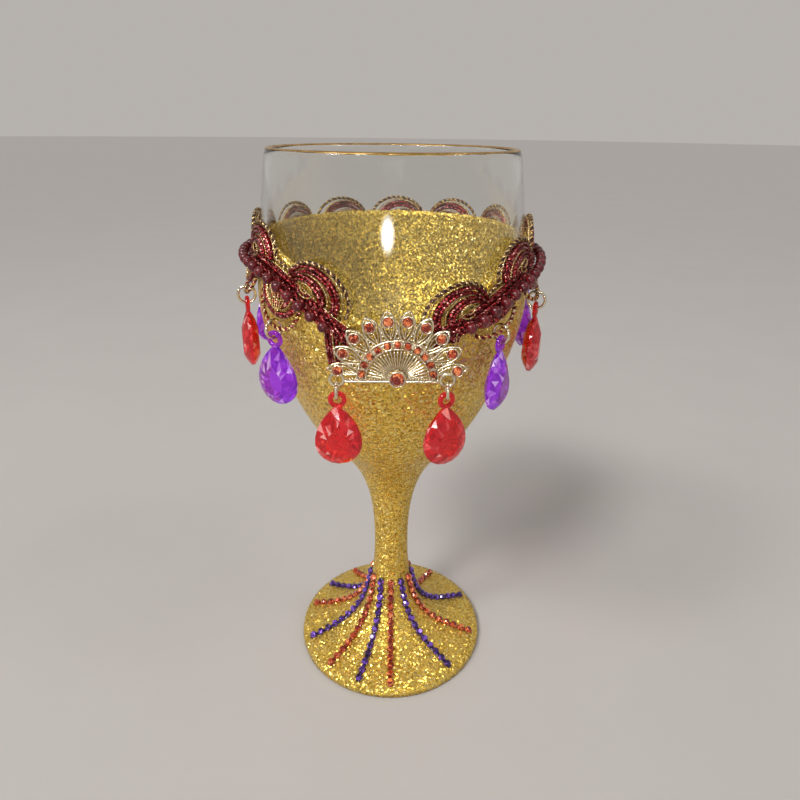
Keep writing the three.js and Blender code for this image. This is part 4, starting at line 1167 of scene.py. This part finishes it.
def world():
    """Pale to the eye and in reflections, softer as a light."""
    scene_world = bpy.data.worlds.new("studio")
    bpy.context.scene.world = scene_world
    scene_world.use_nodes = True
    tree = scene_world.node_tree
    shown = tree.nodes["Background"]
    shown.inputs["Color"].default_value = (*FLOOR_COLOUR, 1)
    soft = grow(tree, "ShaderNodeBackground", {"Color": (*SKY_COLOUR, 1), "Strength": SKY_STRENGTH})
    ray = grow(tree, "ShaderNodeLightPath")
    seen = ray.outputs["Is Camera Ray"]
    for name in ("Is Glossy Ray", "Is Transmission Ray"):
        seen = grow(tree, "ShaderNodeMath", {0: seen, 1: ray.outputs[name]}, operation="MAXIMUM").outputs[0]
    mix = grow(tree, "ShaderNodeMixShader", {0: seen})
    tree.links.new(soft.outputs["Background"], mix.inputs[1])
    tree.links.new(shown.outputs["Background"], mix.inputs[2])
    tree.links.new(mix.outputs["Shader"], tree.nodes["World Output"].inputs["Surface"])


def aim(made, place_mm, target_mm):
    """Puts a light in place; it isn't seen through the glass, as it isn't seen beside it."""
    made.location = Vector(place_mm) * MM
    made.rotation_mode = "QUATERNION"
    made.rotation_quaternion = (Vector(target_mm) - Vector(place_mm)).to_track_quat("-Z", "Y")
    made.visible_transmission = False
    bpy.context.collection.objects.link(made)


def fade_edges(data):
    """A lamp's face grows dim towards its edges, so that its reflections have soft edges."""
    data.use_nodes = True
    tree = data.node_tree
    face = grow(tree, "ShaderNodeNewGeometry").outputs["Parametric"]
    reach = grow(tree, "ShaderNodeVectorMath", {0: face, 1: (0.5, 0.5, 0)}, operation="DISTANCE")
    fade = grow(tree, "ShaderNodeMapRange", {
        "Value": reach.outputs["Value"], "From Max": 0.5, "To Min": 1.0, "To Max": 0.0,
    }).outputs["Result"]
    steep = grow(tree, "ShaderNodeMath", {0: fade, 1: LAMP_FADE}, operation="POWER").outputs["Value"]
    peak = grow(tree, "ShaderNodeMath", {0: steep, 1: LAMP_PEAK}, operation="MULTIPLY").outputs["Value"]
    feed(tree, tree.nodes["Emission"], {"Strength": peak})


def lamp(name, place_mm, target_mm, size_mm, power, beam=180):
    """A soft box with a beam so many degrees wide."""
    data = bpy.data.lights.new(name, "AREA")
    data.shape = "ELLIPSE"
    data.size, data.size_y = size_mm[0] * MM, size_mm[1] * MM
    data.energy = power
    data.spread = math.radians(beam)
    fade_edges(data)
    aim(bpy.data.objects.new(name, data), place_mm, target_mm)


def lights():
    sun = bpy.data.lights.new("key", "SUN")
    sun.energy, sun.angle = 1.55, math.radians(14)
    aim(bpy.data.objects.new("key", sun), (-450, -600, 900), (0, 0, 90))
    lamp("front_box", (-40, -560, 196), (0, 30, 130), (150, 90), 0.045, 40)
    lamp("left_box", (-560, -300, 760), (0, 0, 100), (400, 400), 2.6)
    lamp("right_box", (560, -200, 760), (0, 0, 100), (400, 400), 0.9)


def camera():
    pitch, yaw = math.radians(CAMERA_PITCH), math.radians(CAMERA_YAW)
    ahead = Vector((math.sin(yaw) * math.cos(pitch), math.cos(yaw) * math.cos(pitch), -math.sin(pitch)))
    data = bpy.data.cameras.new("camera")
    data.lens, data.sensor_width = CAMERA_LENS, CAMERA_SENSOR
    data.clip_start, data.clip_end = 0.005, 40
    made = bpy.data.objects.new("camera", data)
    made.location = Vector(CAMERA_PLACE) * MM
    made.rotation_mode = "QUATERNION"
    roll = Quaternion((0, 0, 1), math.radians(CAMERA_ROLL))
    made.rotation_quaternion = ahead.to_track_quat("-Z", "Y") @ roll
    bpy.context.collection.objects.link(made)
    bpy.context.scene.camera = made


camera()
floor()
world()
lights()
goblet_glass()
gilt_rim()
glitter_coat()
red_and_gold_cords()
edge_cord()
lobe_cord()
bead_row()
fan_filigree()
fan_stones()
pendants()
stone_strips()
bpy.context.scene.view_settings.view_transform = "Standard"
